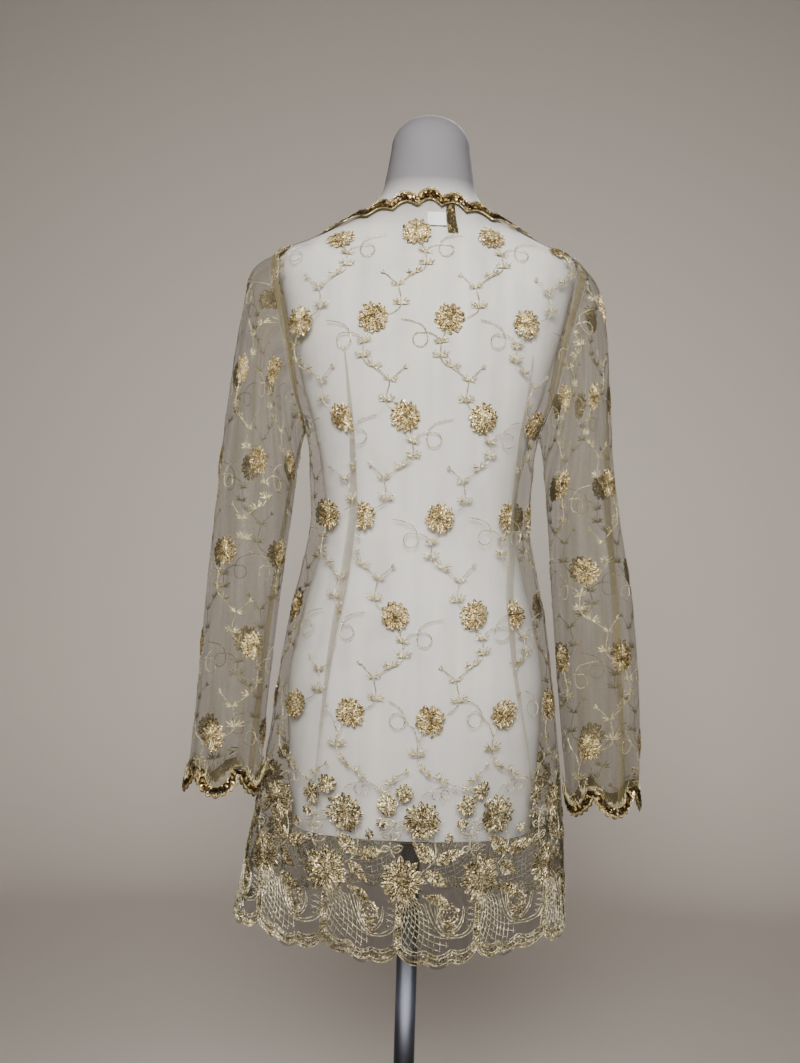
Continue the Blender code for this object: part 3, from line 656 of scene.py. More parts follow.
RIGHT_SLEEVE = [
    SleeveRow(0.167, 1.434, 0.130, 1.233, 0.050, 0.000),
    SleeveRow(0.188, 1.408, 0.133, 1.222, 0.056, 0.000),
    SleeveRow(0.202, 1.350, 0.136, 1.205, 0.059, 0.000),
    SleeveRow(0.208, 1.285, 0.139, 1.182, 0.059, 0.000),
    SleeveRow(0.214, 1.215, 0.142, 1.150, 0.057, 0.000),
    SleeveRow(0.223, 1.150, 0.146, 1.105, 0.054, 0.001),
    SleeveRow(0.240, 1.050, 0.151, 1.040, 0.050, 0.004),
    SleeveRow(0.250, 0.950, 0.160, 0.945, 0.047, 0.008),
    SleeveRow(0.252, 0.870, 0.169, 0.860, 0.046, 0.012),
    SleeveRow(0.252, 0.829, 0.172, 0.824, 0.047, 0.014),
]
SLEEVE_WAVES, SLEEVE_WAVE = 4, 0.0022    # soft lengthwise folds round a sleeve, and how deep they are
SLEEVE_SET_OFF = 0.0006  # from the panel's edge
SLEEVE_JOIN = 0.28       # share of the length that blends from the armhole to the table's rings
SLEEVE_IN = 0.0006       # the net lies this far inside the sleeve's outer face
CUFF_SCALLOPS, CUFF_DEPTH, CUFF_REACH = 5, 0.026, 0.18
SLEEVE_RINGS, SLEEVE_COLUMNS = 150, 120

# Creases of a sleeve: reach down it, roll round it in degrees, half length in reach, half width in degrees,
# how far out, and how many degrees they lean over the sleeve's length.
SleeveCrease = namedtuple("SleeveCrease", "reach roll length width out lean")
SLEEVE_CREASES = [
    SleeveCrease(0.30, 62, 0.16, 8, 0.0030, 70),
    SleeveCrease(0.52, 104, 0.22, 7, 0.0034, -40),
    SleeveCrease(0.72, 58, 0.22, 8, 0.0036, 30),
    SleeveCrease(0.84, 128, 0.16, 9, -0.0036, 20),
    SleeveCrease(0.44, 150, 0.20, 9, 0.0028, 60),
    SleeveCrease(0.66, 216, 0.24, 8, 0.0032, -50),
    SleeveCrease(0.36, 250, 0.20, 9, 0.0030, 40),
    SleeveCrease(0.80, 288, 0.20, 8, 0.0034, -30),
    SleeveCrease(0.55, 322, 0.20, 8, 0.0026, 40),
    SleeveCrease(0.20, 300, 0.12, 8, 0.0022, 60),
]


def cloth_normal(turn, rise):
    """Which way the garment faces at a place."""
    around = cloth_point(turn + 0.5, rise, creased=False) - cloth_point(turn - 0.5, rise, creased=False)
    up = cloth_point(turn, rise + 0.001, creased=False) - cloth_point(turn, rise - 0.001, creased=False)
    return around.cross(up).normalized()


def cuff_lobe(roll, phase):
    """How far the cuff's edge hangs: 0 where two scallops meet and 1 in the middle of one."""
    return abs(math.sin(math.radians(roll) * CUFF_SCALLOPS / 2 + phase)) ** 0.55


def sleeve_surface(rows, phase):
    """A function that gives a left sleeve: reach 0 to 1 from armhole to cuff, roll 0 under the arm, 90 behind."""
    middles = [((r.outer_x + r.inner_x) / 2, (r.outer_z + r.inner_z) / 2) for r in rows]
    lengths = running_lengths(middles)
    read = smooth_table([length / lengths[-1] for length in lengths], rows)
    starts = {}

    def ring_point(reach, roll, out=0.0):
        outer_x, outer_z, inner_x, inner_z, half_depth, sway = read(reach)
        a = math.radians(roll)
        mix = (1 - math.cos(a)) / 2
        size = 1 + SLEEVE_WAVE / half_depth * reach * math.cos(SLEEVE_WAVES * a + 0.6)
        wide = math.hypot(outer_x - inner_x, outer_z - inner_z) / 2
        grown = 1 + out / wide
        mix = 0.5 + (mix - 0.5) * grown
        return Vector((
            inner_x + (outer_x - inner_x) * mix,
            sway + half_depth * (size + out / half_depth) * math.sin(a),
            inner_z + (outer_z - inner_z) * mix,
        ))

    def start(roll):
        if roll not in starts:
            turn, rise = armhole(roll % 360)
            edge, normal = cloth_point(turn, rise, creased=False), cloth_normal(turn, rise)
            away = cloth_point(0, (UNDERARM_RISE + TIP_RISE) / 2, creased=False) - edge
            away -= normal * away.dot(normal)
            starts[roll] = edge + normal * SLEEVE_SET_OFF + away.normalized() * SLEEVE_SET_OFF
        return starts[roll]

    def point(reach, roll, scalloped=True, out=-SLEEVE_IN):
        free = min(reach / SLEEVE_JOIN, 1.0)
        for crease in SLEEVE_CREASES:
            down = (reach - crease.reach) / crease.length
            away = (roll - crease.roll - crease.lean * (reach - crease.reach) + 180) % 360 - 180
            out += crease.out * free * math.exp(-(down**2) - (away / crease.width) ** 2)
        join = max(1 - reach / SLEEVE_JOIN, 0.0) ** 2
        made = ring_point(reach, roll, out) + (start(roll) - ring_point(0, roll)) * join
        if scalloped:
            made.z -= CUFF_DEPTH * (cuff_lobe(roll, phase) - 0.95) * max(1 - (1 - reach) / CUFF_REACH, 0.0) ** 2
        return made

    return point


def sleeve_net(name, surface, right, cuff_out=0.0, look=None):
    """A sleeve with its net laid out in metres in its UV map: across from the outside line, up from the cuff.
    A carrier for sewing hangs straight below the scallops by cuff_out."""
    rolls = [360 * c / SLEEVE_COLUMNS for c in range(SLEEVE_COLUMNS + 1)]
    reaches = [1 - r / SLEEVE_RINGS for r in range(SLEEVE_RINGS + 1)]
    if not right:
        rolls.reverse()
    grid = [[surface(reach, roll % 360, not cuff_out) for roll in rolls] for reach in reaches]
    plain = [[surface(reach, roll % 360, False) for roll in rolls] for reach in reaches]
    if cuff_out:
        low = [p - Vector((0, 0, cuff_out)) for p in plain[0]]
        grid.insert(0, low)
        plain.insert(0, low)
    ups = list(zip(*[running_lengths(column) for column in zip(*plain)]))
    points, flats = [], []
    for line, flat_line, up in zip(grid, plain, ups):
        around = running_lengths(flat_line)
        for p, across, height in zip(line, around, up):
            points.append(Vector((-p.x, p.y, p.z)) if right else p)
            flats.append((across - around[-1] / 2, height - cuff_out))
    width = len(rolls)
    faces = []
    for r in range(len(grid) - 1):
        for c in range(width - 1):
            low, high = r * width + c, (r + 1) * width + c
            faces.append((low, low + 1, high + 1, high))
    made = mesh_object(name, points, faces, look, 0)
    layer = made.data.uv_layers.new(name="net")
    for loop in made.data.loops:
        layer.data[loop.index].uv = flats[loop.vertex_index]
    return made


CUFF_PHASES = {"left": 0.61, "right": 0.175}
sleeves = {"left": sleeve_surface(LEFT_SLEEVE, CUFF_PHASES["left"]),
           "right": sleeve_surface(RIGHT_SLEEVE, CUFF_PHASES["right"])}
sleeve_tulles = {}
for side, surface in sleeves.items():
    made = sleeve_net(f"{side}_sleeve_tulle", surface, side == "right", look=sleeve_tulle)
    merge = bmesh.new()
    merge.from_mesh(made.data)
    bmesh.ops.remove_doubles(merge, verts=merge.verts, dist=1e-5)
    merge.to_mesh(made.data)
    merge.free()
    sleeve_tulles[side] = made
    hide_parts(f"sleeve_{side}")
    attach(made, "root")

# ======================================================================= seams and darts
# Seams are stitched, trimmed and overcast, so two or three layers of net lie along each: narrow bands of
# denser gold-olive inside the blouse, with a line of stitching beside them.
SEAM_WIDTH = 0.0105      # of the overcast seam allowances
SEAM_IN = 0.0005         # they lie this far inside the net
SIDE_STEPS, SHOULDER_STEPS, ARMHOLE_STEPS, DART_STEPS = 90, 14, 96, 46
DART_WIDTHS = [(0.150, 0.0015), (0.250, 0.0050), (0.380, 0.0105), (0.470, 0.0085), (0.560, 0.0045), (0.614, 0.0015)]
SLEEVE_SEAMS = {"left": [(0.0, 8.0), (0.35, 26.0), (1.0, 40.0)], "right": [(0.0, 175.0), (0.35, 128.0), (1.0, 112.0)]}


def place_on_body(across, up, centre_turn):
    """Turn and rise of a place given on the flat net, found by a few steps of Newton's method."""
    turn, rise = centre_turn + math.degrees(-across / 0.14), SIDE_HEM_RISE + up
    for _ in range(7):
        here = net_place(turn, rise, centre_turn)
        slope = (net_place(turn + 0.5, rise, centre_turn)[0] - here[0]) / 0.5
        turn -= max(min((here[0] - across) / slope, 25.0), -25.0)
        rise -= here[1] - up
    return turn, rise


def band(name, places, widths, out, look):
    """A strip of net along (turn, rise) places on the body, as wide as widths, out from its inner surface."""
    points, flats, last = [], [], len(places) - 1
    run = [cloth_point(*place, out) for place in places]
    lengths = running_lengths(run)
    for i, (turn, rise) in enumerate(places):
        along = (run[min(i + 1, last)] - run[max(i - 1, 0)]).normalized()
        normal = cloth_normal(turn, rise)
        sideways = along.cross(normal).normalized()
        for share in (-0.5, -0.2, 0.2, 0.5):
            points.append(run[i] + sideways * widths[i] * share)
            flats.append((widths[i] * share, lengths[i]))
    return strip_object(name, points, flats, last + 1, 4, look)


def strip_object(name, points, flats, rows, columns, look):
    faces = []
    for r in range(rows - 1):
        for c in range(columns - 1):
            a = r * columns + c
            faces.append((a, a + 1, a + columns + 1, a + columns))
    made = mesh_object(name, points, faces, look, 0)
    layer = made.data.uv_layers.new(name="net")
    for loop in made.data.loops:
        layer.data[loop.index].uv = flats[loop.vertex_index]
    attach(made, "root")
    return made


def sleeve_band(name, surface, right, rolls_down, width, out, look, reaches):
    """A strip of net down or round a sleeve. Rolls_down gives the roll at each reach."""
    points, flats = [], []
    run = [surface(reach, roll, False, out) for reach, roll in zip(reaches, rolls_down)]
    lengths = running_lengths(run)
    last = len(run) - 1
    for i, (reach, roll) in enumerate(zip(reaches, rolls_down)):
        along = (run[min(i + 1, last)] - run[max(i - 1, 0)]).normalized()
        round_ = (surface(reach, roll + 2, False, out) - surface(reach, roll - 2, False, out)).normalized()
        down = surface(min(reach + 0.01, 1.0), roll, False, out) - surface(max(reach - 0.01, 0.0), roll, False, out)
        normal = round_.cross(down).normalized()
        sideways = along.cross(normal).normalized()
        for share in (-0.5, -0.2, 0.2, 0.5):
            p = run[i] + sideways * width * share
            points.append(Vector((-p.x, p.y, p.z)) if right else p)
            flats.append((width * share, lengths[i]))
    return strip_object(name, points, flats, last + 1, 4, look)


# Three layers of the net and the overcasting: the same nylon, but denser, with gold threads caught in.
seam_net = net_material("layered_nylon_tulle", "#94864f", 0.38, 0.62)
dart_net = net_material("doubled_nylon_tulle", "#9c8f63", 0.26, 0.42)

for side, turn in (("left", 0), ("right", 180)):
    places = []
    for i in range(SIDE_STEPS + 1):
        rise = SIDE_HEM_RISE + 0.004 + (UNDERARM_RISE - SIDE_HEM_RISE - 0.004) * i / SIDE_STEPS
        places.append((turn, rise))
    band(f"{side}_side_seam", places, [SEAM_WIDTH] * len(places), CLOTH_OUT - SEAM_IN, seam_net)
    places = [(turn, TIP_RISE + (NECK_SIDE_RISE - TIP_RISE) * i / SHOULDER_STEPS) for i in range(SHOULDER_STEPS + 1)]
    band(f"{side}_shoulder_seam", places, [SEAM_WIDTH * 0.8] * len(places), CLOTH_OUT - SEAM_IN, seam_net)

for side in ("left", "right"):
    places = []
    for i in range(ARMHOLE_STEPS + 1):
        turn, rise = armhole(360 * i / ARMHOLE_STEPS)
        grown = 1 + 0.35 * abs(math.sin(math.radians(180 * i / ARMHOLE_STEPS * 2)))
        turn = turn + math.copysign(1.4 * grown, turn) if turn else 0.0
        places.append((turn if side == "left" else 180 - turn, rise))
    band(f"{side}_armhole_seam", places, [SEAM_WIDTH * 0.85] * len(places), CLOTH_OUT - SEAM_IN, seam_net)

read_width = smooth_table([up for up, _ in DART_WIDTHS], [(width,) for _, width in DART_WIDTHS])
for side in (-1, 1):
    places, widths = [], []
    for i in range(DART_STEPS + 1):
        up = DARTS[0].height + (DARTS[-1].height - DARTS[0].height) * i / DART_STEPS
        width = read_width(up)[0]
        across = dart_at(up)[1 if side < 0 else 2] + side * width / 2
        places.append(place_on_body(across, up, 90))
        widths.append(width)
    band(f"{'left' if side < 0 else 'right'}_dart", places, widths, CLOTH_OUT - SEAM_IN, dart_net)

for side, surface in sleeves.items():
    reaches = [i / 80 for i in range(81)]
    read_roll = smooth_table([r for r, _ in SLEEVE_SEAMS[side]], [(roll,) for _, roll in SLEEVE_SEAMS[side]])
    sleeve_band(f"{side}_sleeve_seam", surface, side == "right", [read_roll(r)[0] for r in reaches],
                SEAM_WIDTH, -SLEEVE_IN - SEAM_IN, seam_net, reaches)

# ======================================================================= all-over embroidery
# Round flowers and hanging sprigs are machine-embroidered over the whole net in flat metallic thread: the
# flowers thick and gold, in three rings of pointed satin-stitch petals, the sprigs paler and finer.
FLOWER_RADIUS = 0.0165
LATTICE_START = {"back": 0.233, "front": 0.233, "left": 0.060, "right": 0.072}     # the lowest row
LATTICE_ROW = {"back": 0.103, "front": 0.103, "left": 0.1000, "right": 0.0960}     # between rows
LATTICE_LEAN = 0.025     # how far the flowers shift across for each metre up
LATTICE_OFFSET = {"back": 0.009, "front": 0.030, "left": 0.047, "right": -0.010}
SEWN_LIFT = 0.0001       # threads lie this far out of the net
random.seed(7)

Ring = namedtuple("Ring", "inner outer count width height base")
DAISY_RINGS = [
    Ring(0.38, 1.00, 13, 0.42, 0.0008, 0.0000),
    Ring(0.20, 0.76, 12, 0.34, 0.0008, 0.0004),
    Ring(0.04, 0.48, 9, 0.27, 0.0008, 0.0008),
]


def new_shape():
    return {"points": [], "faces": [], "thread": []}


def stitch(shape, path, widths, height, base=0.0):
    """A raised satin stitch along a path in metres: a ridge, flat underneath, as wide as widths at each point."""
    offset = random.random()
    lengths = running_lengths(path)
    stations = []
    for i, (x, y) in enumerate(path):
        ahead, behind = path[min(i + 1, len(path) - 1)], path[max(i - 1, 0)]
        dx, dy = ahead[0] - behind[0], ahead[1] - behind[1]
        size = math.hypot(dx, dy) or 1.0
        half = widths[i] / 2
        nx, ny = -dy / size * half, dx / size * half
        first = len(shape["points"])
        if half == 0:
            shape["points"].append((x, y, base))
            shape["thread"].append((lengths[i] + offset, 0.0))
            stations.append((first, first, first))
        else:
            shape["points"] += [(x + nx, y + ny, base), (x, y, base + height), (x - nx, y - ny, base)]
            shape["thread"] += [(lengths[i] + offset, v) for v in (half, 0.0, -half)]
            stations.append((first, first + 1, first + 2))
    loops = []
    for (left, ridge, right), (left_2, ridge_2, right_2) in zip(stations, stations[1:]):
        loops += [(left, ridge, ridge_2, left_2), (ridge, right, right_2, ridge_2), (left, left_2, right_2, right)]
    loops += [stations[0][::-1], stations[-1]]
    for loop in loops:
        corners = list(dict.fromkeys(loop))
        if len(corners) > 2:
            shape["faces"].append(corners)


def petal(shape, start, end, width, height, base=0.0, blunt=0.0):
    """A satin-stitch petal from start to end, pointed unless blunt is the share of its width left at its end."""
    path = [(start[0] + (end[0] - start[0]) * t, start[1] + (end[1] - start[1]) * t) for t in (0, 0.42, 0.78, 1)]
    stitch(shape, path, (width * 0.45, width, width * 0.74, width * blunt), height, base)


def at_angle(centre, radius, degrees):
    return centre[0] + radius * math.cos(math.radians(degrees)), centre[1] + radius * math.sin(math.radians(degrees))


def flower(shape, centre, radius, rings, blunt=0.0, beads=5):
    """A flower of rings of petals, each ring higher than the one outside it, round a few knots."""
    for number, ring in enumerate(rings):
        for i in range(ring.count):
            angle = 360 * (i + number * 0.5) / ring.count + random.uniform(-5, 5)
            reach = radius * ring.outer * random.uniform(0.92, 1.04)
            start, end = at_angle(centre, radius * ring.inner, angle), at_angle(centre, reach, angle)
            petal(shape, start, end, radius * ring.width, ring.height, ring.base, blunt)
    for i in range(beads):
        middle = at_angle(centre, radius * 0.1, 360 * i / beads)
        petal(shape, (middle[0] - radius * 0.05, middle[1]), (middle[0] + radius * 0.05, middle[1]),
              radius * 0.1, 0.0008, rings[-1].base + 0.0004, 0.4)


def folded_petal(shape, centre, inner, outer, angle, width, height, base):
    """A pointed petal of two stitches that lean together at its tip, with a crease between them."""
    across = (-math.sin(math.radians(angle)), math.cos(math.radians(angle)))
    wide = width * 0.44
    for side in (-1, 1):
        path = []
        for share, spread in ((0, 0.14), (0.45, 0.28), (0.8, 0.20), (1, 0.03)):
            x, y = at_angle(centre, inner + (outer - inner) * share, angle)
            path.append((x + across[0] * side * width * spread, y + across[1] * side * width * spread))
        stitch(shape, path, (wide * 0.6, wide, wide * 0.8, wide * 0.3), height, base)


def daisy(shape, radius, rings):
    """A flower of rings of folded petals, each ring higher than the one outside it, round a few knots."""
    for number, ring in enumerate(rings):
        for i in range(ring.count):
            angle = 360 * (i + number * 0.5) / ring.count + random.uniform(-4, 4)
            reach = radius * ring.outer * random.uniform(0.94, 1.04)
            folded_petal(shape, (0, 0), radius * ring.inner, reach, angle, radius * ring.width, ring.height, ring.base)
    for i in range(7):
        x, y = at_angle((0, 0), radius * 0.12 * (i % 6 > 0), 60 * i)
        petal(shape, (x - 0.0008, y), (x + 0.0008, y), 0.0015, 0.0008, rings[-1].base + 0.0004, 0.5)


def cord(shape, path, width, height, base=0.0):
    """A couched cord of one width along a path, with tapered ends."""
    stitch(shape, path, [width * 0.3] + [width] * (len(path) - 2) + [width * 0.3], height, base)


def curve_through(points, steps=6):
    """A smooth run of points through the given ones."""
    read = smooth_table(running_lengths(points), points)
    total = running_lengths(points)[-1]
    count = steps * (len(points) - 1)
    return [tuple(read(total * i / count)) for i in range(count + 1)]


def circle_path(centre, radius, start, sweep, steps=12):
    return [at_angle(centre, radius, start + sweep * i / steps) for i in range(steps + 1)]


def leaf_pair(shape, place, size, lean):
    """Two small leaves that spread from one stem like wings, each of a middle stitch and one on either side."""
    for side in (-1, 1):
        angle = 90 + lean - side * 60
        root, tip = at_angle(place, size * 0.06, angle), at_angle(place, size * 1.05, angle)
        petal(shape, root, tip, size * 0.18, 0.0004, 0.0001, 0.2)
        for spread, share in ((-25, 0.90), (25, 0.90)):
            petal(shape, root, at_angle(place, size * share, angle + spread), size * 0.14, 0.0003, 0.0, 0.2)


# A sprig hangs from each flower to the next row's: its leaf pairs (with how far each leans), its stem, its twig
# and its curled tendril. All are in metres from the flower's middle.
LeafPair = namedtuple("LeafPair", "x y size lean")
SPRIG_LEAVES = [
    LeafPair(-0.0085, -0.0260, 0.0092, 10),
    LeafPair(-0.0100, -0.0410, 0.0104, 0),
    LeafPair(0.0020, -0.0520, 0.0102, -20),
    LeafPair(0.0200, -0.0655, 0.0090, -10),
    LeafPair(0.0170, -0.0870, 0.0106, 0),
]
SPRIG_STEM = [(-0.004, -0.013), (-0.008, -0.022), (-0.0100, -0.034), (-0.0085, -0.045), (0.002, -0.052),
              (0.012, -0.059), (0.0195, -0.066), (0.0175, -0.077), (0.0175, -0.088), (0.022, -0.094), (0.031, -0.098)]
SPRIG_TWIG = [(0.0195, -0.066), (0.026, -0.060), (0.034, -0.0525)]
SPRIG_TENDRIL = [(-0.0085, -0.0235), (-0.0150, -0.0185), (-0.0240, -0.0150)]
TENDRIL_LOOP = ((-0.0315, -0.0225), 0.0078)
TENDRIL_TAIL = [(-0.0240, -0.0195), (-0.0255, -0.0130), (-0.0300, -0.0070), (-0.0400, -0.0030), (-0.0520, -0.0010)]


# Under the lowest row the sprigs lean far over, to reach the border's blossoms.
LOW_LEAVES = [
    LeafPair(-0.0140, -0.0350, 0.0118, 0),
    LeafPair(-0.0070, -0.0520, 0.0098, -45),
    LeafPair(0.0100, -0.0610, 0.0102, -50),
    LeafPair(0.0385, -0.0740, 0.0085, -25),
    LeafPair(0.0470, -0.0640, 0.0095, 25),
]
LOW_STEM = [(-0.0060, -0.0100), (-0.0120, -0.0200), (-0.0135, -0.0340), (-0.0110, -0.0450), (-0.0050, -0.0530),
            (0.0100, -0.0600), (0.0230, -0.0665), (0.0380, -0.0720), (0.0480, -0.0800)]
LOW_TWIG = [(0.0420, -0.0750), (0.0465, -0.0660), (0.0520, -0.0585), (0.0600, -0.0530)]
LOW_TENDRIL = [(-0.0130, -0.0210), (-0.0170, -0.0090), (-0.0230, -0.0030)]
LOW_LOOP = ((-0.0345, -0.0010), 0.0082)
LOW_TAIL = [(-0.0260, 0.0010), (-0.0295, 0.0090), (-0.0350, 0.0150), (-0.0440, 0.0185)]


def sprig(side, low=False):
    """A sprig as a shape. Side 1 leans to the right on its way down, and -1 to the left."""
    shape = new_shape()
    stem, twig, start, tail = SPRIG_STEM, SPRIG_TWIG, SPRIG_TENDRIL, TENDRIL_TAIL[1:]
    leaves, (centre, radius) = SPRIG_LEAVES, TENDRIL_LOOP
    if low:
        stem, twig, start, tail = LOW_STEM, LOW_TWIG, LOW_TENDRIL, LOW_TAIL
        leaves, (centre, radius) = LOW_LEAVES, LOW_LOOP

    def turned_to(path):
        return [(x * side, y) for x, y in path]

    cord(shape, curve_through(turned_to(stem), 3), 0.0009, 0.0004)
    cord(shape, curve_through(turned_to(twig), 3), 0.0009, 0.0004)
    for spread in (-22, 22):
        tip = turned_to(twig)[-1]
        angle = 90 - side * 50 + spread
        petal(shape, tip, at_angle(tip, 0.0052, angle), 0.0020, 0.0006, 0.0, 0.3)
    loop = circle_path(centre, radius, 62, 300)
    cord(shape, curve_through(turned_to(start + loop[::2] + tail), 3), 0.0009, 0.0004)
    for pair in leaves:
        leaf_pair(shape, (pair.x * side, pair.y), pair.size, pair.lean * side)
    return shape


def motif_collection(name, shapes):
    """A collection of flat motifs, in the order of their names, for the sewing to pick from."""
    made = bpy.data.collections.new(name)
    for i, shape in enumerate(shapes):
        mesh = bpy.data.meshes.new(f"{name}_{i:02d}")
        mesh.from_pydata(shape["points"], [], shape["faces"])
        layer = mesh.uv_layers.new(name="thread")
        for loop in mesh.loops:
            layer.data[loop.index].uv = shape["thread"][loop.vertex_index]
        made.objects.link(bpy.data.objects.new(f"{name}_{i:02d}", mesh))
    return made


def sewing_tree():
    """Motifs set out at places on the flat net, then carried to where the net's UV map puts them."""
    tree = bpy.data.node_groups.new("sewn_on_net", "GeometryNodeTree")
    sockets = (("Places", "Geometry"), ("Net", "Object"), ("Motifs", "Collection"), ("Thread", "Material"),
               ("Lift", "Float"))
    for name, kind in sockets:
        tree.interface.new_socket(name=name, in_out="INPUT", socket_type=f"NodeSocket{kind}")
    tree.interface.new_socket(name="Sewn", in_out="OUTPUT", socket_type="NodeSocketGeometry")
    given = add_node(tree, "NodeGroupInput").outputs
    picked = add_node(tree, "GeometryNodeInputNamedAttribute", {"Name": "motif"}, data_type="INT")
    turned_by = add_node(tree, "GeometryNodeInputNamedAttribute", {"Name": "turn"}, data_type="FLOAT")
    scaled_by = add_node(tree, "GeometryNodeInputNamedAttribute", {"Name": "size"}, data_type="FLOAT")
    euler = add_node(tree, "ShaderNodeCombineXYZ", {"Z": turned_by.outputs[0]})
    rotation = add_node(tree, "FunctionNodeEulerToRotation", {"Euler": euler.outputs[0]})
    motifs = add_node(tree, "GeometryNodeCollectionInfo",
                      {"Collection": given["Motifs"], "Separate Children": True, "Reset Children": True})
    laid = add_node(tree, "GeometryNodeInstanceOnPoints", {
        "Points": given["Places"], "Instance": motifs.outputs[0], "Pick Instance": True,
        "Instance Index": picked.outputs[0], "Rotation": rotation.outputs[0], "Scale": scaled_by.outputs[0],
    })
    real = add_node(tree, "GeometryNodeRealizeInstances", {"Geometry": laid.outputs[0]})
    net = add_node(tree, "GeometryNodeObjectInfo", {"Object": given["Net"]})
    flat = add_node(tree, "GeometryNodeInputNamedAttribute", {"Name": "net"}, data_type="FLOAT_VECTOR")
    place = add_node(tree, "GeometryNodeInputPosition")
    facing = add_node(tree, "GeometryNodeInputNormal")
    sampled = []
    for value in (place.outputs[0], facing.outputs[0]):
        sampled.append(add_node(tree, "GeometryNodeSampleUVSurface", {
            "Mesh": net.outputs["Geometry"], "Value": value, "UV Map": flat.outputs[0], "Sample UV": place.outputs[0],
        }, data_type="FLOAT_VECTOR"))
    height = add_node(tree, "ShaderNodeSeparateXYZ", {0: place.outputs[0]})
    lifted = add_node(tree, "ShaderNodeMath", {0: height.outputs["Z"], 1: given["Lift"]})
    outwards = add_node(tree, "ShaderNodeVectorMath", {0: sampled[1].outputs[0], "Scale": lifted.outputs[0]},
                        operation="SCALE")
    final = add_node(tree, "ShaderNodeVectorMath", {0: sampled[0].outputs[0], 1: outwards.outputs[0]})
    off_net = add_node(tree, "FunctionNodeBooleanMath", {0: sampled[0].outputs["Is Valid"]}, operation="NOT")
    kept = add_node(tree, "GeometryNodeStoreNamedAttribute", {
        "Geometry": real.outputs[0], "Name": "off_net", "Value": off_net.outputs[0],
    }, data_type="BOOLEAN", domain="POINT")
    moved = add_node(tree, "GeometryNodeSetPosition", {"Geometry": kept.outputs[0], "Position": final.outputs[0]})
    lost = add_node(tree, "GeometryNodeInputNamedAttribute", {"Name": "off_net"}, data_type="BOOLEAN")
    cut = add_node(tree, "GeometryNodeDeleteGeometry", {"Geometry": moved.outputs[0], "Selection": lost.outputs[0]})
    done = add_node(tree, "GeometryNodeSetMaterial", {"Geometry": cut.outputs[0], "Material": given["Thread"]})
    add_node(tree, "NodeGroupOutput", {"Sewn": done.outputs[0]})
    return tree


sewing = sewing_tree()
sewn_pieces = {}


def sewn(name, net, motifs, places, thread, lift=SEWN_LIFT):
    """Motifs sewn on a net as one mesh. Each place is across, up, motif, turn in radians, size."""
    mesh = bpy.data.meshes.new(name)
    mesh.from_pydata([(across, up, 0) for across, up, *_ in places], [], [])
    for attribute, kind, column in (("motif", "INT", 2), ("turn", "FLOAT", 3), ("size", "FLOAT", 4)):
        values = mesh.attributes.new(attribute, kind, "POINT")
        values.data.foreach_set("value", [row[column] for row in places])
    made = bpy.data.objects.new(name, mesh)
    bpy.context.scene.collection.objects.link(made)
    modifier = made.modifiers.new("sewing", "NODES")
    modifier.node_group = sewing
    inputs = {item.name: item.identifier for item in sewing.interface.items_tree if item.in_out == "INPUT"}
    for label, value in (("Net", net), ("Motifs", motifs), ("Thread", thread), ("Lift", lift)):
        modifier[inputs[label]] = value
    bpy.context.view_layer.update()
    result = bpy.data.meshes.new_from_object(made.evaluated_get(bpy.context.evaluated_depsgraph_get()))
    made.modifiers.remove(modifier)
    made.data = result
    for attribute in ("motif", "turn", "size", "off_net"):
        if attribute in result.attributes:
            result.attributes.remove(result.attributes[attribute])
    result.shade_smooth()
    result.set_sharp_from_angle(angle=math.radians(75))
    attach(made, "root")
    sewn_pieces.setdefault(net.name, []).append(made)
    return made


def thread_material(name, dark, middle, light, roughness, grain, metal=0.7):
    """Metallic thread in satin stitch. Its UV map runs along and across each stitch, in metres. Dark and light are
    the colours of its painted shadow and painted glints.
    """
    made, tree, shader = new_material(name, middle, roughness, Metallic=metal)
    flat = add_node(tree, "ShaderNodeUVMap", uv_map="thread").outputs["UV"]
    place = add_node(tree, "ShaderNodeTexCoord").outputs["Object"]
    # each strand's colour is painted pale for two millimetres or so, then dark: painted glints and painted shadow
    strand = add_node(tree, "ShaderNodeMapping", {"Vector": flat, "Scale": (0.8 / grain, 1.6 / grain, 1.0)})
    glint = add_node(tree, "ShaderNodeTexVoronoi", {"Vector": strand.outputs["Vector"], "Scale": 1.0,
                                                    "Randomness": 1.0})
    shade = add_node(tree, "ShaderNodeSeparateColor", {"Color": glint.outputs["Color"]})
    coarse_mottle = add_node(tree, "ShaderNodeTexNoise", {"Vector": place, "Scale": 90.0, "Detail": 2.0})
    mixed = add_node(tree, "ShaderNodeMath", {0: shade.outputs[0], 1: coarse_mottle.outputs["Fac"]}, operation="ADD")
    mixed = add_node(tree, "ShaderNodeMath", {0: mixed.outputs[0], 1: 0.5}, operation="MULTIPLY")
    # the ramp paints glints and shadow into the colour: dark is painted shadow, light a painted glint
    colour = add_node(tree, "ShaderNodeValToRGB", {"Fac": mixed.outputs[0]},
                      stops=((0.34, dark), (0.48, middle), (0.58, middle), (0.72, light)))
    tree.links.new(colour.outputs["Color"], shader.inputs["Base Color"])
    strands = add_node(tree, "ShaderNodeTexWave", {"Vector": flat, "Scale": 1 / THREAD_PITCH / 6.2832, "Distortion": 1.5},
                       bands_direction="Y")
    relief = add_node(tree, "ShaderNodeBump",
                      {"Height": strands.outputs["Fac"], "Strength": 0.5, "Distance": 0.0003})
    cells = add_node(tree, "ShaderNodeBump", {"Height": glint.outputs["Distance"], "Strength": 0.8,
                                              "Distance": 0.0007, "Normal": relief.outputs["Normal"]})
    tree.links.new(cells.outputs["Normal"], shader.inputs["Normal"])
    polish = add_node(tree, "ShaderNodeMapRange", {"Value": shade.outputs[1], "To Min": roughness - 0.14,
                                                   "To Max": roughness + 0.14})
    tree.links.new(polish.outputs["Result"], shader.inputs["Roughness"])
    return made
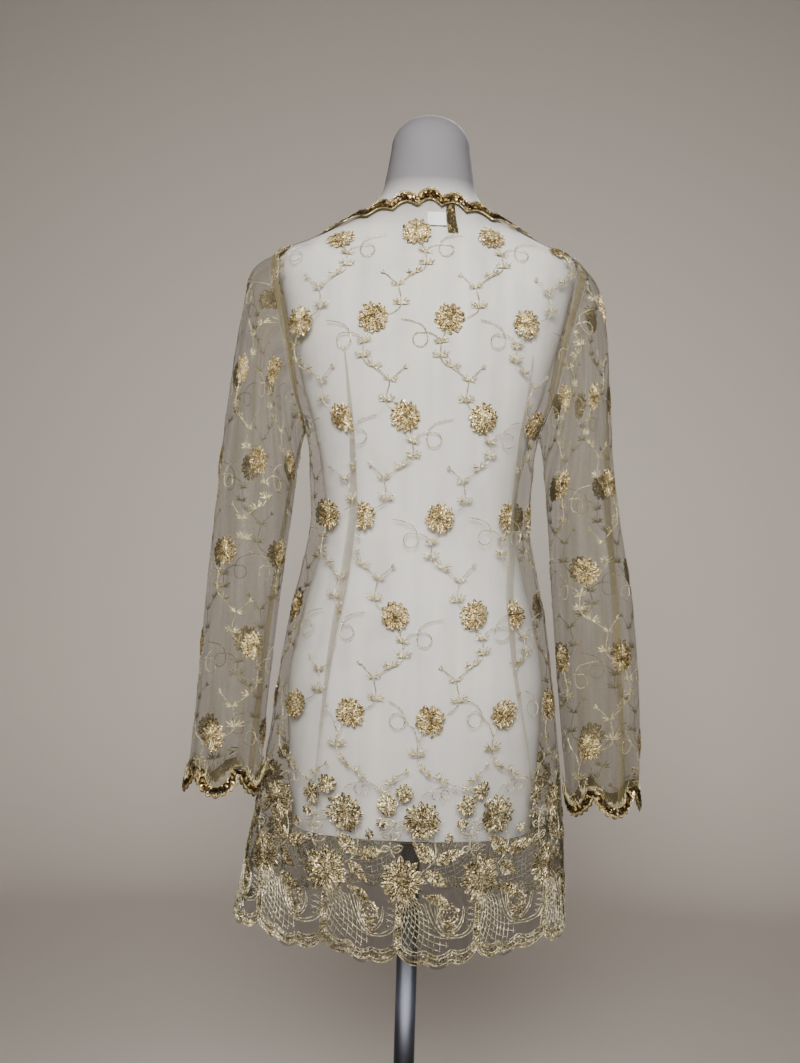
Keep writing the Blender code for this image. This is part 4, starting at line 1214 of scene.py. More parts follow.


# Flat metallised yarn laid in satin stitch: strands 0.35 mm wide, drawn at 0.8 mm so that they show, shining on the
# crests and dark in the gaps between, partly from the metal and the strands' bump and partly from painted glints and
# painted shadow in the colour. The flowers' yarn is yellow gold; the sprigs' is a paler gold.
THREAD_PITCH = 0.0008
gold_thread = thread_material("gold_metallic_thread", "#2f250d", "#968150", "#f1e5be", 0.36, 0.0011)
pale_thread = thread_material("pale_gold_thread", "#756b49", "#a49a73", "#dad1b2", 0.50, 0.0012)

carriers = {
    "back": body_panel("back_net", 90, NECK_BACK_RISE, (False, True), 0.012),
    "left_front": body_panel("left_front_net", -90, NECK_FRONT_RISE, (False,), 0.012),
    "right_front": body_panel("right_front_net", -90, NECK_FRONT_RISE, (True,), 0.012),
    "left_sleeve": sleeve_net("left_sleeve_net", sleeves["left"], False, 0.0),
    "right_sleeve": sleeve_net("right_sleeve_net", sleeves["right"], True, 0.0),
}

daisy_shapes = [new_shape() for _ in range(4)]
for shape in daisy_shapes:
    daisy(shape, FLOWER_RADIUS, DAISY_RINGS)
daisies = motif_collection("daisy", daisy_shapes)
sprigs = motif_collection("sprig", [sprig(1), sprig(-1), sprig(1, True)])


def lattice(kind, width, height):
    """Flowers and sprigs over a net: half-drop rows, each sprig hanging to the next flower down."""
    flowers, hanging = [], []
    row, up = 0, LATTICE_START[kind]
    while up < height:
        shift = LATTICE_OFFSET[kind] + LATTICE_LEAN * up + (REPEAT / 2 if row % 2 else 0.0)
        first = math.floor((-width / 2 - shift) / REPEAT)
        for i in range(first, first + int(width / REPEAT) + 3):
            across = shift + REPEAT * i + random.uniform(-0.0012, 0.0012)
            tall = up + random.uniform(-0.0015, 0.0015)
            turn = random.uniform(-0.4, 0.4)
            flowers.append((across, tall, random.randrange(4), turn, random.uniform(0.95, 1.04)))
            bent = random.uniform(-0.05, 0.05)
            hanging.append((across, tall, (0 if row % 2 == 0 else 1) if row else 2, bent, 1.0))
        row, up = row + 1, up + LATTICE_ROW[kind]
    return flowers, hanging


NETS = {"back": ("back", 0.64, 0.84), "left_front": ("front", 0.64, 0.84), "right_front": ("front", 0.64, 0.84),
        "left_sleeve": ("left", 0.40, 0.64), "right_sleeve": ("right", 0.40, 0.66)}
for name, (kind, width, height) in NETS.items():
    flowers, hanging = lattice(kind, width, height)
    sewn(f"{name}_flowers", carriers[name], daisies, flowers, gold_thread)
    sewn(f"{name}_sprigs", carriers[name], sprigs, hanging, pale_thread)

# ======================================================================= hem border
# The net's own border: a repeat 83 mm wide and 155 mm high, embroidered in silvery gold thread far more
# densely than the rest, from small blossoms down through large flowers, leaves and netting to the edge.
Leaf = namedtuple("Leaf", "base tip width")
TOP_BLOSSOMS = [((0.0025, 0.1580), 0.0100), ((-0.0145, 0.1450), 0.0112)]
BUDS = [((0.0635, 0.1270), 0.0062), ((0.0507, 0.1140), 0.0058)]
UPPER_FLOWER = ((0.0218, 0.1310), 0.0205)
LARGE_FLOWER = ((0.0027, 0.0715), 0.0240)
SERRATED_LEAVES = [
    Leaf((0.0360, 0.0905), (0.0125, 0.1110), 0.0200),
    Leaf((0.0375, 0.0900), (0.0665, 0.1010), 0.0170),
    Leaf((0.0270, 0.0815), (0.0495, 0.0660), 0.0165),
    Leaf((0.0510, 0.0500), (0.0240, 0.0580), 0.0135),
]
OUTLINED_STEM = [(-0.0040, 0.130), (-0.0085, 0.121), (-0.0105, 0.111), (-0.0100, 0.101), (-0.0040, 0.092)]
OUTLINED_LEAVES = [
    Leaf((-0.0060, 0.1250), (-0.0170, 0.1310), 0.0068),
    Leaf((-0.0060, 0.1250), (0.0035, 0.1300), 0.0068),
    Leaf((-0.0100, 0.1140), (-0.0215, 0.1170), 0.0068),
    Leaf((-0.0100, 0.1120), (0.0010, 0.1180), 0.0068),
    Leaf((-0.0105, 0.1030), (-0.0200, 0.1010), 0.0062),
    Leaf((-0.0090, 0.1000), (0.0030, 0.1050), 0.0066),
]
MAIN_STEM = [(0.0330, 0.1170), (0.0370, 0.1040), (0.0355, 0.0930), (0.0285, 0.0850), (0.0190, 0.0785)]
ROSE_STEM = [(0.0510, 0.0500), (0.0420, 0.0420), (0.0400, 0.0350)]
ARCH = [(0.0202, 0.1535), (0.0245, 0.1585), (0.0308, 0.1610), (0.0373, 0.1635), (0.0455, 0.1650), (0.0525, 0.1635),
        (0.0590, 0.1575)]
ARCH_LOOPS = [((0.0364, 0.1565), 0.0046), ((0.0450, 0.1572), 0.0042)]
ROSES = [((0.0516, 0.0385), 0.0118), ((0.0530, 0.0245), 0.0078)]
CRESCENT = [(0.0265, 0.0520), (0.0320, 0.0380), (0.0385, 0.0265), (0.0470, 0.0185), (0.0575, 0.0155),
            (0.0680, 0.0165), (0.0765, 0.0210), (0.0812, 0.0300)]
ROSE_RING = [(0.0370, 0.0470), (0.0400, 0.0330), (0.0480, 0.0215), (0.0590, 0.0215), (0.0665, 0.0310), (0.0680, 0.0440)]
FAN_MIDDLE, FAN_NEAR, FAN_FAR = (0.0030, 0.0680), 0.0160, 0.0780     # of the netting that hangs from the flower
FAN_TURNS, FAN_RIBS, FAN_LINE = (-92, -38), 8, 0.0010
EDGE_CORDS = [0.0008, 0.0040, 0.0105, 0.0138]    # above the scalloped edge
EDGE_PITCH = 0.0014      # between the short stitches that cover the edge


def satin_leaf(shape, leaf, strokes, height, base=0.0, rise=2.6, taper=0.55, vein=0.0006):
    """A leaf of short satin stitches that slant out from its vein, which is left bare, to a serrated edge.
    It widens with rise from its base and narrows with taper to its tip."""
    (x0, y0), (x1, y1), width = leaf
    dx, dy = x1 - x0, y1 - y0
    size = math.hypot(dx, dy)
    ux, uy = dx / size, dy / size
    wide = size / strokes * 1.12
    for i in range(strokes):
        t = (i + 0.4) / strokes
        half = width / 2 * min(0.40 + rise * t, 1.0) * (1 - t) ** taper
        for side in (-1, 1):
            out, ahead = half * random.uniform(0.90, 1.08), half * 0.62
            root = vein * min(1.0, 4 * t, 3 * (1 - t))
            start = (x0 + dx * t * 0.88 - uy * root * side, y0 + dy * t * 0.88 + ux * root * side)
            end = (start[0] + ux * ahead - uy * out * side, start[1] + uy * ahead + ux * out * side)
            path = [start, ((start[0] + end[0]) / 2, (start[1] + end[1]) / 2), end]
            stitch(shape, path, (wide * 0.8, wide, wide * 0.35), height, base)
    petal(shape, (x0 + dx * 0.78, y0 + dy * 0.78), (x1, y1), wide * 1.1, height, base)


def outlined_leaf(shape, leaf):
    """A small leaf drawn with one line of cord round it, and a vein."""
    (x0, y0), (x1, y1), width = leaf
    dx, dy = x1 - x0, y1 - y0
    size = math.hypot(dx, dy)
    nx, ny = -dy / size, dx / size
    for side in (-1, 1):
        path = []
        for i in range(6):
            t = i / 5
            bulge = width / 2 * math.sin(math.pi * t) * side
            path.append((x0 + dx * t + nx * bulge, y0 + dy * t + ny * bulge))
        cord(shape, path, 0.0013, 0.0006)
    cord(shape, [(x0, y0), (x0 + dx * 0.4, y0 + dy * 0.4), (x0 + dx * 0.8, y0 + dy * 0.8)], 0.0009, 0.0005)


def leafy_flower(shape, centre, radius, rings, height):
    """A large flower: rings of folded petals, each with a rib down its crease, round a heap of knots."""
    for number, (count, start, end, width) in enumerate(rings):
        for i in range(count):
            middle = 360 * (i + number * 0.5) / count + random.uniform(-3, 3)
            reach = radius * end * (1 - 0.09 * (i % 2)) * random.uniform(0.97, 1.03)
            base = height * 0.6 * number
            folded_petal(shape, centre, radius * start, reach, middle, radius * width, height, base)
            root, tip = at_angle(centre, radius * start, middle), at_angle(centre, reach * 1.03, middle)
            petal(shape, root, tip, radius * width * 0.22, height, base + height * 0.5, 0.3)
    for ring, count in ((0.05, 3), (0.15, 7)):
        for i in range(count):
            x, y = at_angle(centre, radius * ring, 360 * i / count + random.uniform(-9, 9))
            petal(shape, (x - 0.0010, y), (x + 0.0010, y), 0.0018, 0.0010, height * 1.8, 0.5)


def rose(shape, centre, radius):
    """A rose of short stitches that curl round its heart."""
    for ring, count, reach in ((0.78, 9, 0.34), (0.48, 7, 0.30), (0.20, 4, 0.24)):
        for i in range(count):
            angle = 360 * i / count + random.uniform(-8, 8)
            start = at_angle(centre, radius * ring, angle)
            middle = at_angle(centre, radius * (ring + 0.12), angle + 22)
            end = at_angle(centre, radius * ring, angle + 46)
            wide = radius * reach
            stitch(shape, [start, middle, end], (wide * 0.4, wide, wide * 0.4), 0.0009, 0.0004 * (1 - ring))


def netting(shape):
    """The fan of fine cords under the large flower: two sets that wind opposite ways out from its middle."""
    steps = 16
    for i in range(-5, FAN_RIBS + 6):
        for lean in (0.75, -0.75):
            line = []
            for k in range(steps + 1):
                down = k / steps
                share = i / FAN_RIBS + lean * (down - 0.3)
                radius = FAN_NEAR + (FAN_FAR - FAN_NEAR) * down
                x, y = at_angle(FAN_MIDDLE, radius, FAN_TURNS[0] + (FAN_TURNS[1] - FAN_TURNS[0]) * share)
                under = y < 0.041 and math.hypot(x - 0.060, y - 0.041) > 0.0262
                if 0 <= share <= 1 and y > 0.0140 - lobe_depth(x / REPEAT) and (x < 0.0290 or under):
                    line.append((x, y))
            if len(line) > 2:
                cord(shape, line, FAN_LINE, 0.0007)
    for rung in range(5):
        y = 0.0240 + 0.0060 * rung
        cord(shape, [(0.0700, y), (0.0750, y + 0.0020), (0.0800, y + 0.0010)], FAN_LINE, 0.0007)
        cord(shape, [(0.0700, y + 0.0040), (0.0750, y + 0.0010), (0.0800, y - 0.0020)], FAN_LINE, 0.0007)


def hem_edge(shape):
    """Two bands of short stitches that cover the scalloped edge, with dots between them."""
    steps = round(REPEAT / EDGE_PITCH)
    edge = [(REPEAT * i / steps, -lobe_depth(i / steps)) for i in range(steps + 1)]
    for i in range(steps):
        x, y = edge[i]
        tall = 0.0068 + random.uniform(-0.0008, 0.0012)
        petal(shape, (x + 0.0006, y + 0.0002), (x + 0.0002, y + tall), 0.0013, 0.0006, 0.0, 0.5)
        lean = random.uniform(-0.0012, 0.0012)
        petal(shape, (x, y + 0.0098), (x + lean, y + 0.0118 + random.uniform(0, 0.0026)), 0.0013, 0.0006, 0.0, 0.5)
        if i % 3 == 1:
            petal(shape, (x - 0.0012, y + 0.0082), (x + 0.0014, y + 0.0084), 0.0024, 0.0011, 0.0002, 0.5)


def junction(shape):
    """The satin column that rises where two large scallops meet."""
    for i in range(15):
        y = 0.0045 + 0.0030 * i
        for side in (-1, 1):
            petal(shape, (0.0, y), (side * 0.0034, y + 0.0026), 0.0026, 0.0008, 0.0, 0.4)


BLOSSOM_RINGS = [
    Ring(0.34, 1.00, 9, 0.56, 0.0009, 0.0000),
    Ring(0.08, 0.64, 7, 0.44, 0.0010, 0.0006),
]
BUD_RINGS = [Ring(0.20, 1.00, 7, 0.60, 0.0009, 0.0000)]
PETAL_RINGS = [(15, 0.48, 1.00, 0.31), (11, 0.24, 0.64, 0.25), (6, 0.05, 0.30, 0.19)]


def border_satin():
    """The satin stitch of one repeat, from the meeting of two large scallops at its left."""
    shape = new_shape()
    for centre, radius in TOP_BLOSSOMS:
        flower(shape, centre, radius, BLOSSOM_RINGS, 0.5)
    for centre, radius in BUDS:
        flower(shape, centre, radius, BUD_RINGS, 0.4, 3)
    for centre, radius in (UPPER_FLOWER, LARGE_FLOWER):
        leafy_flower(shape, centre, radius, PETAL_RINGS, 0.0008)
    for leaf in SERRATED_LEAVES:
        satin_leaf(shape, leaf, 9, 0.0008)
    for centre, radius in ROSES:
        rose(shape, centre, radius)
    hem_edge(shape)
    junction(shape)
    return shape


def border_cords():
    """The couched cords of one repeat: stems, outlined leaves, loops, crescents and netting."""
    shape = new_shape()
    for leaf in OUTLINED_LEAVES:
        outlined_leaf(shape, leaf)
    for path in (OUTLINED_STEM, MAIN_STEM, ROSE_STEM):
        cord(shape, curve_through(path, 4), 0.0014, 0.0008)
    cord(shape, curve_through(ARCH, 3), 0.0009, 0.0004)
    for centre, radius in ARCH_LOOPS:
        cord(shape, circle_path(centre, radius, 80, 350), 0.0009, 0.0004)
    for inwards in (0.0, 0.0026):
        for run in (CRESCENT, ROSE_RING):
            path = [(x + (0.055 - x) * inwards / 0.02, y + inwards) for x, y in run]
            cord(shape, curve_through(path, 3), 0.0013, 0.0009)
    netting(shape)
    edge = [(REPEAT * i / 40, -lobe_depth(i / 40)) for i in range(41)]
    for up in EDGE_CORDS:
        cord(shape, [(x, y + up) for x, y in edge], 0.0013, 0.0011, 0.0003)
    for side in (-1, 1):
        cord(shape, [(side * 0.0044, 0.004), (side * 0.0040, 0.020), (side * 0.0020, 0.052)], 0.0011, 0.0008)
    return shape


# The border's yarn is metallised film twisted with grey-beige silk, so silvery beside the flowers' gold.
silver_gold = thread_material("silver_gold_thread", "#322915", "#857955", "#eadfbd", 0.40, 0.0013)
silk_cord = thread_material("couched_silk_cord", "#625b46", "#9a9276", "#dcd6c0", 0.50, 0.0013, 0.35)

random.seed(21)
borders = motif_collection("border", [border_satin() for _ in range(2)])
border_lines = motif_collection("border_line", [border_cords()])
for name in ("back", "left_front", "right_front"):
    kind, half_width, _ = NETS[name]
    start = BORDER_START[kind]
    places = [(start + REPEAT * k, 0, k % 2, 0, 1) for k in range(-5, 5)]
    sewn(f"{name}_border", carriers[name], borders, places, silver_gold)
    places = [(start + REPEAT * k, 0, 0, 0, 1) for k in range(-5, 5)]
    sewn(f"{name}_border_cords", carriers[name], border_lines, places, silk_cord)

# ======================================================================= sequin braid
# A bought trimming 13 mm wide, of bronze cup sequins sewn in rows between pale gold cords on a woven tape,
# is stitched round the neckline, down both front edges and round the cuffs.
BRAID_WIDTH, BRAID_PITCH, BRAID_DIP = 0.0150, 0.028, 0.0085     # it undulates in small scallops
BRAID_OUT = 0.0021       # of its underside from the garment's inner surface
BRAID_STAND = 0.0085     # how far the braid stands up past the neckline behind the neck
TAPE_THICKNESS, TAPE_ROWS = 0.0007, 4
FRONT_TURN = -89.87      # the braid's edge at the centre front
RUN_SAMPLES, SLOPE_SAMPLES, NECK_SAMPLES = 198, 68, 80
BRAID_PART = 0.0004      # the lengths of braid end this far from the shoulder seams
SEQUIN_RADIUS, SEQUIN_PITCH = 0.0019, 0.0027
CORD_WIDTH, CORD_HEIGHT, CORD_STEP = 0.0012, 0.0009, 0.0022
CUFF_TAPE, CUFF_TAPE_OUT = 0.0100, 0.0009     # width of the cuffs' braid, and how far out of the sleeve it lies

Band = namedtuple("Band", "row edge_share")


def inset(turn, rise, ahead, distance):
    """A place on the garment, a distance in from an edge that runs towards ahead (turn, rise), to its right."""
    here = cloth_normal(turn, rise)
    around = (cloth_point(turn + 0.2, rise, 0, False) - cloth_point(turn - 0.2, rise, 0, False)) / 0.4
    up = (cloth_point(turn, rise + 0.0005, 0, False) - cloth_point(turn, rise - 0.0005, 0, False)) / 0.001
    along = around * (ahead[0] - turn) + up * (ahead[1] - rise)
    inwards = here.cross(along).normalized() * -distance
    aa, au, uu = around.dot(around), around.dot(up), up.dot(up)
    pa, pu = inwards.dot(around), inwards.dot(up)
    scale = aa * uu - au * au
    return turn + (pa * uu - pu * au) / scale, rise + (pu * aa - pa * au) / scale


def tape(name, rows, flats, look, node, closed=False):
    """A thin woven tape through rows of points, from its inner edge out. Its net map is where flats says; the
    map of its underside lies a metre lower, out of the way of what is sewn on."""
    count = len(rows[0])
    last = count - 1
    top, low = [], []
    for r, line in enumerate(rows):
        for i, p in enumerate(line):
            if closed:
                along = line[(i + 1) % last] - line[(i - 1) % last]
            else:
                along = line[min(i + 1, last)] - line[max(i - 1, 0)]
            across = rows[min(r + 1, len(rows) - 1)][i] - rows[max(r - 1, 0)][i]
            normal = along.cross(across).normalized()
            top.append(p + normal * TAPE_THICKNESS)
            low.append(p)
    size = len(top)
    faces, under = [], []
    for r in range(len(rows) - 1):
        for i in range(last):
            a, b = r * count + i, (r + 1) * count + i
            faces.append((a, a + 1, b + 1, b))
            under.append((size + a, size + b, size + b + 1, size + a + 1))
    for i in range(last):
        a, b = i, (len(rows) - 1) * count + i
        under.append((size + a, size + a + 1, a + 1, a))
        under.append((b, b + 1, size + b + 1, size + b))
    if not closed:
        for r in range(len(rows) - 1):
            a, b = r * count, (r + 1) * count
            under.append((a, b, size + b, size + a))
            under.append((a + last, size + a + last, size + b + last, b + last))
    made = mesh_object(name, top + low, faces + under, look, 60)
    layer = made.data.uv_layers.new(name="net")
    places = [flat for line in flats for flat in line]
    for polygon in made.data.polygons:
        lower = 1.0 if polygon.index >= len(faces) else 0.0
        for loop, v in zip(polygon.loop_indices, polygon.vertices):
            across, up = places[v % size]
            layer.data[loop].uv = (across, up - lower)
    if node:
        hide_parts(node)
    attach(made, "root")
    return made


def sequin():
    """A cup sequin with a bead stitched in its middle."""
    shape = {"points": [], "faces": [], "thread": []}
    tilt = 0.0008
    for radius, height in ((1.0, 0.0), (0.5, -0.00035)):
        for i in range(8):
            x, y = at_angle((0, 0), SEQUIN_RADIUS * radius, 45 * i + 22.5)
            shape["points"].append((x, y, 0.0008 + height + tilt * x / SEQUIN_RADIUS))
    for i in range(8):
        n = (i + 1) % 8
        shape["faces"].append((i, n, 8 + n, 8 + i))
    shape["faces"].append(tuple(range(8, 16)))
    bead = len(shape["points"])
    for i in range(5):
        x, y = at_angle((0, 0), 0.00055, 72 * i)
        shape["points"].append((x, y, 0.0005))
    shape["points"].append((0, 0, 0.0013))
    for i in range(5):
        shape["faces"].append((bead + i, bead + (i + 1) % 5, bead + 5))
    shape["thread"] = [(x, y) for x, y, _ in shape["points"]]
    return shape


# Sequins punched from film metallised bronze: a mirror-like cup, some worn to gold and some dark, each a
# little scuffed. The tape under them is plain-woven gold lurex.
bronze, tree, shader = new_material("bronze_cup_sequins", "#7a5218", 0.28, Metallic=0.65, Coat_Weight=0.2,
                                    Coat_Roughness=0.1)
place = add_node(tree, "ShaderNodeTexCoord").outputs["Object"]
each = add_node(tree, "ShaderNodeTexVoronoi", {"Vector": place, "Scale": 1 / SEQUIN_PITCH})
shade = add_node(tree, "ShaderNodeSeparateColor", {"Color": each.outputs["Color"]})
colour = add_node(tree, "ShaderNodeValToRGB", {"Fac": shade.outputs[0]},
                  stops=((0.0, "#0d0802"), (0.48, "#2a1d09"), (0.78, "#58431b"), (0.95, "#c4a96c")))
tree.links.new(colour.outputs["Color"], shader.inputs["Base Color"])
scuff = add_node(tree, "ShaderNodeTexNoise", {"Vector": place, "Scale": 900.0, "Detail": 2.0})
dulled = add_node(tree, "ShaderNodeMapRange", {"Value": scuff.outputs["Fac"], "To Min": 0.12, "To Max": 0.4})
tree.links.new(dulled.outputs["Result"], shader.inputs["Roughness"])

# Gold cord: a cotton core wrapped with pale gold film.
cord_thread = thread_material("wrapped_gold_cord", "#5f5230", "#a6966a", "#e2d8b4", 0.42, 0.0010)

lurex, tree, shader = new_material("gold_lurex_tape", "#b3944f", 0.5, Metallic=0.4)
flat = add_node(tree, "ShaderNodeUVMap", uv_map="net").outputs["UV"]
warp = add_node(tree, "ShaderNodeTexWave", {"Vector": flat, "Scale": 260.0}, bands_direction="X")
weft = add_node(tree, "ShaderNodeTexWave", {"Vector": flat, "Scale": 260.0}, bands_direction="Y")
weave = add_node(tree, "ShaderNodeMath", {0: warp.outputs["Fac"], 1: weft.outputs["Fac"]}, operation="MULTIPLY")
colour = add_node(tree, "ShaderNodeValToRGB", {"Fac": weave.outputs[0]},
                  stops=((0.05, "#463a20"), (0.6, "#807048")))
tree.links.new(colour.outputs["Color"], shader.inputs["Base Color"])
relief = add_node(tree, "ShaderNodeBump", {"Height": weave.outputs[0], "Strength": 0.4, "Distance": 0.0002})
tree.links.new(relief.outputs["Normal"], shader.inputs["Normal"])


def braid_rows(edge):
    """Rows of points, with their places along and across the braid, from its inner edge out."""
    lengths = running_lengths([cloth_point(*place, 0, False) for place in edge])
    scallops = round(lengths[-1] / BRAID_PITCH)
    last = len(edge) - 1
    rows = [[] for _ in range(TAPE_ROWS + 1)]
    flats = [[] for _ in rows]
    for i, (turn, rise) in enumerate(edge):
        ahead, behind = edge[min(i + 2, last)], edge[max(i - 2, 0)]
        heading = (turn + ahead[0] - behind[0], rise + ahead[1] - behind[1])
        behind_neck = max(math.sin(math.radians(turn)), 0.0) ** 0.5
        dip = BRAID_DIP * (0.6 + 0.4 * behind_neck) * (1 - abs(math.sin(lengths[i] / lengths[-1] * scallops * math.pi)))
        for q in range(TAPE_ROWS + 1):
            inwards = dip + BRAID_WIDTH * (1 - q / TAPE_ROWS) - BRAID_STAND * behind_neck
            rows[q].append(cloth_point(*inset(turn, rise, heading, inwards), BRAID_OUT))
            flats[q].append((lengths[i], BRAID_WIDTH * q / TAPE_ROWS))
    return rows, flats


def sewn_row(length_from, length_to, across, start):
    """Places for a row of sequins along a tape."""
    places = []
    along = length_from + start
    while along < length_to - SEQUIN_RADIUS:
        wander = random.uniform(-0.0002, 0.0002)
        places.append((along, across + wander, 0, random.uniform(-3.1, 3.1), random.uniform(0.94, 1.06)))
        along += SEQUIN_PITCH
    return places


def dressed(name, tape_piece, length_from, length_to, width, cord_lines=(0.5, -1.35, -0.45)):
    """The sequins of a length of tape, and its cords, each so many cord widths in from one edge or the other."""
    places = []
    for share, start in ((0.25, 0.0020), (0.44, 0.0033), (0.63, 0.0020)):
        places += sewn_row(length_from, length_to, width * share, start)
    sewn(f"{name}_sequins", tape_piece, sequins, places, bronze, 0.0002)
    cords = []
    steps = max(round((length_to - length_from) / CORD_STEP), 4)
    for line in cord_lines:
        across = CORD_WIDTH * line if line > 0 else width + CORD_WIDTH * line
        shape = new_shape()
        path = [(length_from + (length_to - length_from) * i / steps, across) for i in range(steps + 1)]
        cord(shape, path, CORD_WIDTH, CORD_HEIGHT)
        cords.append(shape)
    shapes = motif_collection("cord", cords)
    sewn(f"{name}_cords", tape_piece, shapes, [(0, 0, i, 0, 1) for i in range(len(cords))], cord_thread, 0.0001)


front_run = [
    (FRONT_TURN, SIDE_HEM_RISE + 0.001 + (NECK_FRONT_RISE - SIDE_HEM_RISE) * i / RUN_SAMPLES)
    for i in range(RUN_SAMPLES)
]
front_slope = [
    (FRONT_TURN * (1 - i / SLOPE_SAMPLES), NECK_FRONT_RISE + (NECK_SIDE_RISE - NECK_FRONT_RISE) * i / SLOPE_SAMPLES)
    for i in range(SLOPE_SAMPLES)
]
left_front = front_run + front_slope
right_front = [(180 - turn, rise) for turn, rise in reversed(left_front)]
back_neck = []
for i in range(NECK_SAMPLES + 1):
    turn = 180 * i / NECK_SAMPLES
    back_neck.append((turn, NECK_SIDE_RISE + (NECK_BACK_RISE - NECK_SIDE_RISE) * math.sin(math.radians(turn))))
strip, strip_flats = braid_rows(left_front + back_neck + right_front)
left_seam, right_seam = len(left_front), len(left_front) + NECK_SAMPLES
sequins = motif_collection("sequins", [sequin()])

for name, first, last in (("front_braid_left", 0, left_seam), ("neck_braid", left_seam, right_seam),
                          ("front_braid_right", right_seam, len(strip[0]) - 1)):
    rows, flats = [], []
    for line, flat_line in zip(strip, strip_flats):
        part, flat_part = line[first:last + 1], flat_line[first:last + 1]
        part[0] = part[0] + (part[1] - part[0]).normalized() * BRAID_PART
        part[-1] = part[-1] + (part[-2] - part[-1]).normalized() * BRAID_PART
        rows.append(part)
        flats.append(flat_part)
    piece = tape(f"{name}_tape", rows, flats, lurex, name)
    dressed(name, piece, flats[0][0][0], flats[0][-1][0], BRAID_WIDTH)

# ----------------------------------------------------------------------- cuffs
# The same braid, with small satin scallops of pale gold thread below it and a spray of fine stitches above.
CUFF_STEPS, SMALL_SCALLOP, SMALL_DROP = 240, 0.0085, 0.0030
SPRAY_HEIGHT, SPRAY_PITCH, SPRAY_STITCH = 0.0190, 0.0017, 0.0040
for side, surface in sleeves.items():
    rolls = [360 * c / CUFF_STEPS for c in range(CUFF_STEPS + 1)]
    run = [surface(1, roll % 360) for roll in rolls]
    above = [surface(0.97, roll % 360) for roll in rolls]
    if side == "right":
        run, above = [[Vector((-p.x, p.y, p.z)) for p in reversed(line)] for line in (run, above)]
    edge_lengths = running_lengths(run)

    def cuff_line(offset, out):
        """A line round the cuff, offset up from its scalloped edge."""
        line = []
        for i, p in enumerate(run):
            along = (run[(i + 1) % CUFF_STEPS] - run[(i - 1) % CUFF_STEPS]).normalized()
            up = (above[i] - p) - along * (above[i] - p).dot(along)
            shift = offset(edge_lengths[i]) if callable(offset) else offset
            line.append(p + up.normalized() * shift + up.cross(along).normalized() * out)
        return line

    rows = [cuff_line(CUFF_TAPE * (1 - q / TAPE_ROWS), CUFF_TAPE_OUT) for q in range(TAPE_ROWS + 1)]
    rows[-1] = cuff_line(lambda along: -SMALL_DROP * abs(math.sin(math.pi * along / SMALL_SCALLOP)), CUFF_TAPE_OUT)
    flats = [[(length, CUFF_TAPE * q / TAPE_ROWS) for length in edge_lengths] for q in range(TAPE_ROWS + 1)]
    piece = tape(f"cuff_braid_{side}_tape", rows, flats, lurex, f"cuff_braid_{side}", True)
    dressed(f"cuff_{side}", piece, 0.0, edge_lengths[-1], CUFF_TAPE)
    upright = [(a - p).normalized() * SPRAY_HEIGHT for a, p in zip(above, run)]
    foot = cuff_line(CUFF_TAPE * 0.9, CUFF_TAPE_OUT * 0.6)
    rows = [[p + up * (1 - q / 3) for p, up in zip(foot, upright)] for q in range(4)]
    flats = [[(length, SPRAY_HEIGHT * q / 3) for length in edge_lengths] for q in range(4)]
    ground = tape(f"cuff_{side}_ground", rows, flats, lurex, None, True)
    carriers[f"{side}_cuff"] = ground
    spray = new_shape()
    for i in range(round(edge_lengths[-1] / SPRAY_PITCH)):
        x = SPRAY_PITCH * i
        roll = rolls[bisect.bisect_left(edge_lengths, x)]
        meeting = 1 - cuff_lobe(360 - roll if side == "right" else roll, CUFF_PHASES[side])
        tall = SPRAY_HEIGHT * (0.36 + 0.5 * meeting) * random.uniform(0.3, 1.0)
        y = SPRAY_HEIGHT - random.uniform(0.0002, 0.0022)
        while y > SPRAY_HEIGHT - tall and y > SPRAY_STITCH:
            lean = random.uniform(-0.0024, 0.0024)
            petal(spray, (x, y), (x + lean, y - SPRAY_STITCH), 0.0008, 0.0004, 0.0, 0.3)
            y -= SPRAY_STITCH * random.uniform(0.8, 1.4)
    sewn(f"cuff_{side}_spray", ground, motif_collection("spray", [spray]), [(0, 0, 0, 0, 1)], pale_thread)

# ======================================================================= label and braid end
# Just inside the back neck are sewn a small folded label of white satin tape, left blank, and the loose end
# of the neck braid, which hangs down beside it.
LABEL_TURNS, LABEL_HEIGHTS, LABEL_OUT = (88.0, 105.4), (1.4575, 1.4726), -0.0013
END_TURNS, END_HEIGHTS, END_OUT = (106.4, 115.0), (1.4500, 1.4840), -0.0023


def inside_rows(turns, heights, out, columns, count):
    """Rows of points just inside the back, each running up from the first height to the second."""
    rows, flats = [], []
    for q in range(count + 1):
        turn = turns[1] + (turns[0] - turns[1]) * q / count
        places = [(turn, rise_at(heights[0] + (heights[1] - heights[0]) * c / columns)) for c in range(columns + 1)]
        rows.append([cloth_point(*place, out) for place in places])
    width = (rows[-1][0] - rows[0][0]).length
    for q, line in enumerate(rows):
        flats.append([(length, width * q / count) for length in running_lengths(line)])
    return rows, flats


# Satin-woven polyester tape, heat cut: bright white with a faint rib along it.
satin_tape, tree, shader = new_material("white_satin_tape", "#f4f8ff", 0.5, Sheen_Weight=0.2)
flat = add_node(tree, "ShaderNodeUVMap", uv_map="net").outputs["UV"]
rib = add_node(tree, "ShaderNodeTexWave", {"Vector": flat, "Scale": 200.0, "Distortion": 0.6}, bands_direction="Y")
relief = add_node(tree, "ShaderNodeBump", {"Height": rib.outputs["Fac"], "Strength": 0.3, "Distance": 0.0002})
tree.links.new(relief.outputs["Normal"], shader.inputs["Normal"])

rows, flats = inside_rows(LABEL_TURNS, LABEL_HEIGHTS, LABEL_OUT, 6, 8)
tape("neck_label_tape", rows, flats, satin_tape, "neck_label")
rows, flats = inside_rows(END_TURNS, END_HEIGHTS, END_OUT, 12, 4)
end_tape = tape("braid_end_tape", rows, flats, bronze, "braid_end")
dressed("braid_end", end_tape, 0.0, flats[0][-1][0], flats[-1][0][1], (-0.4,))
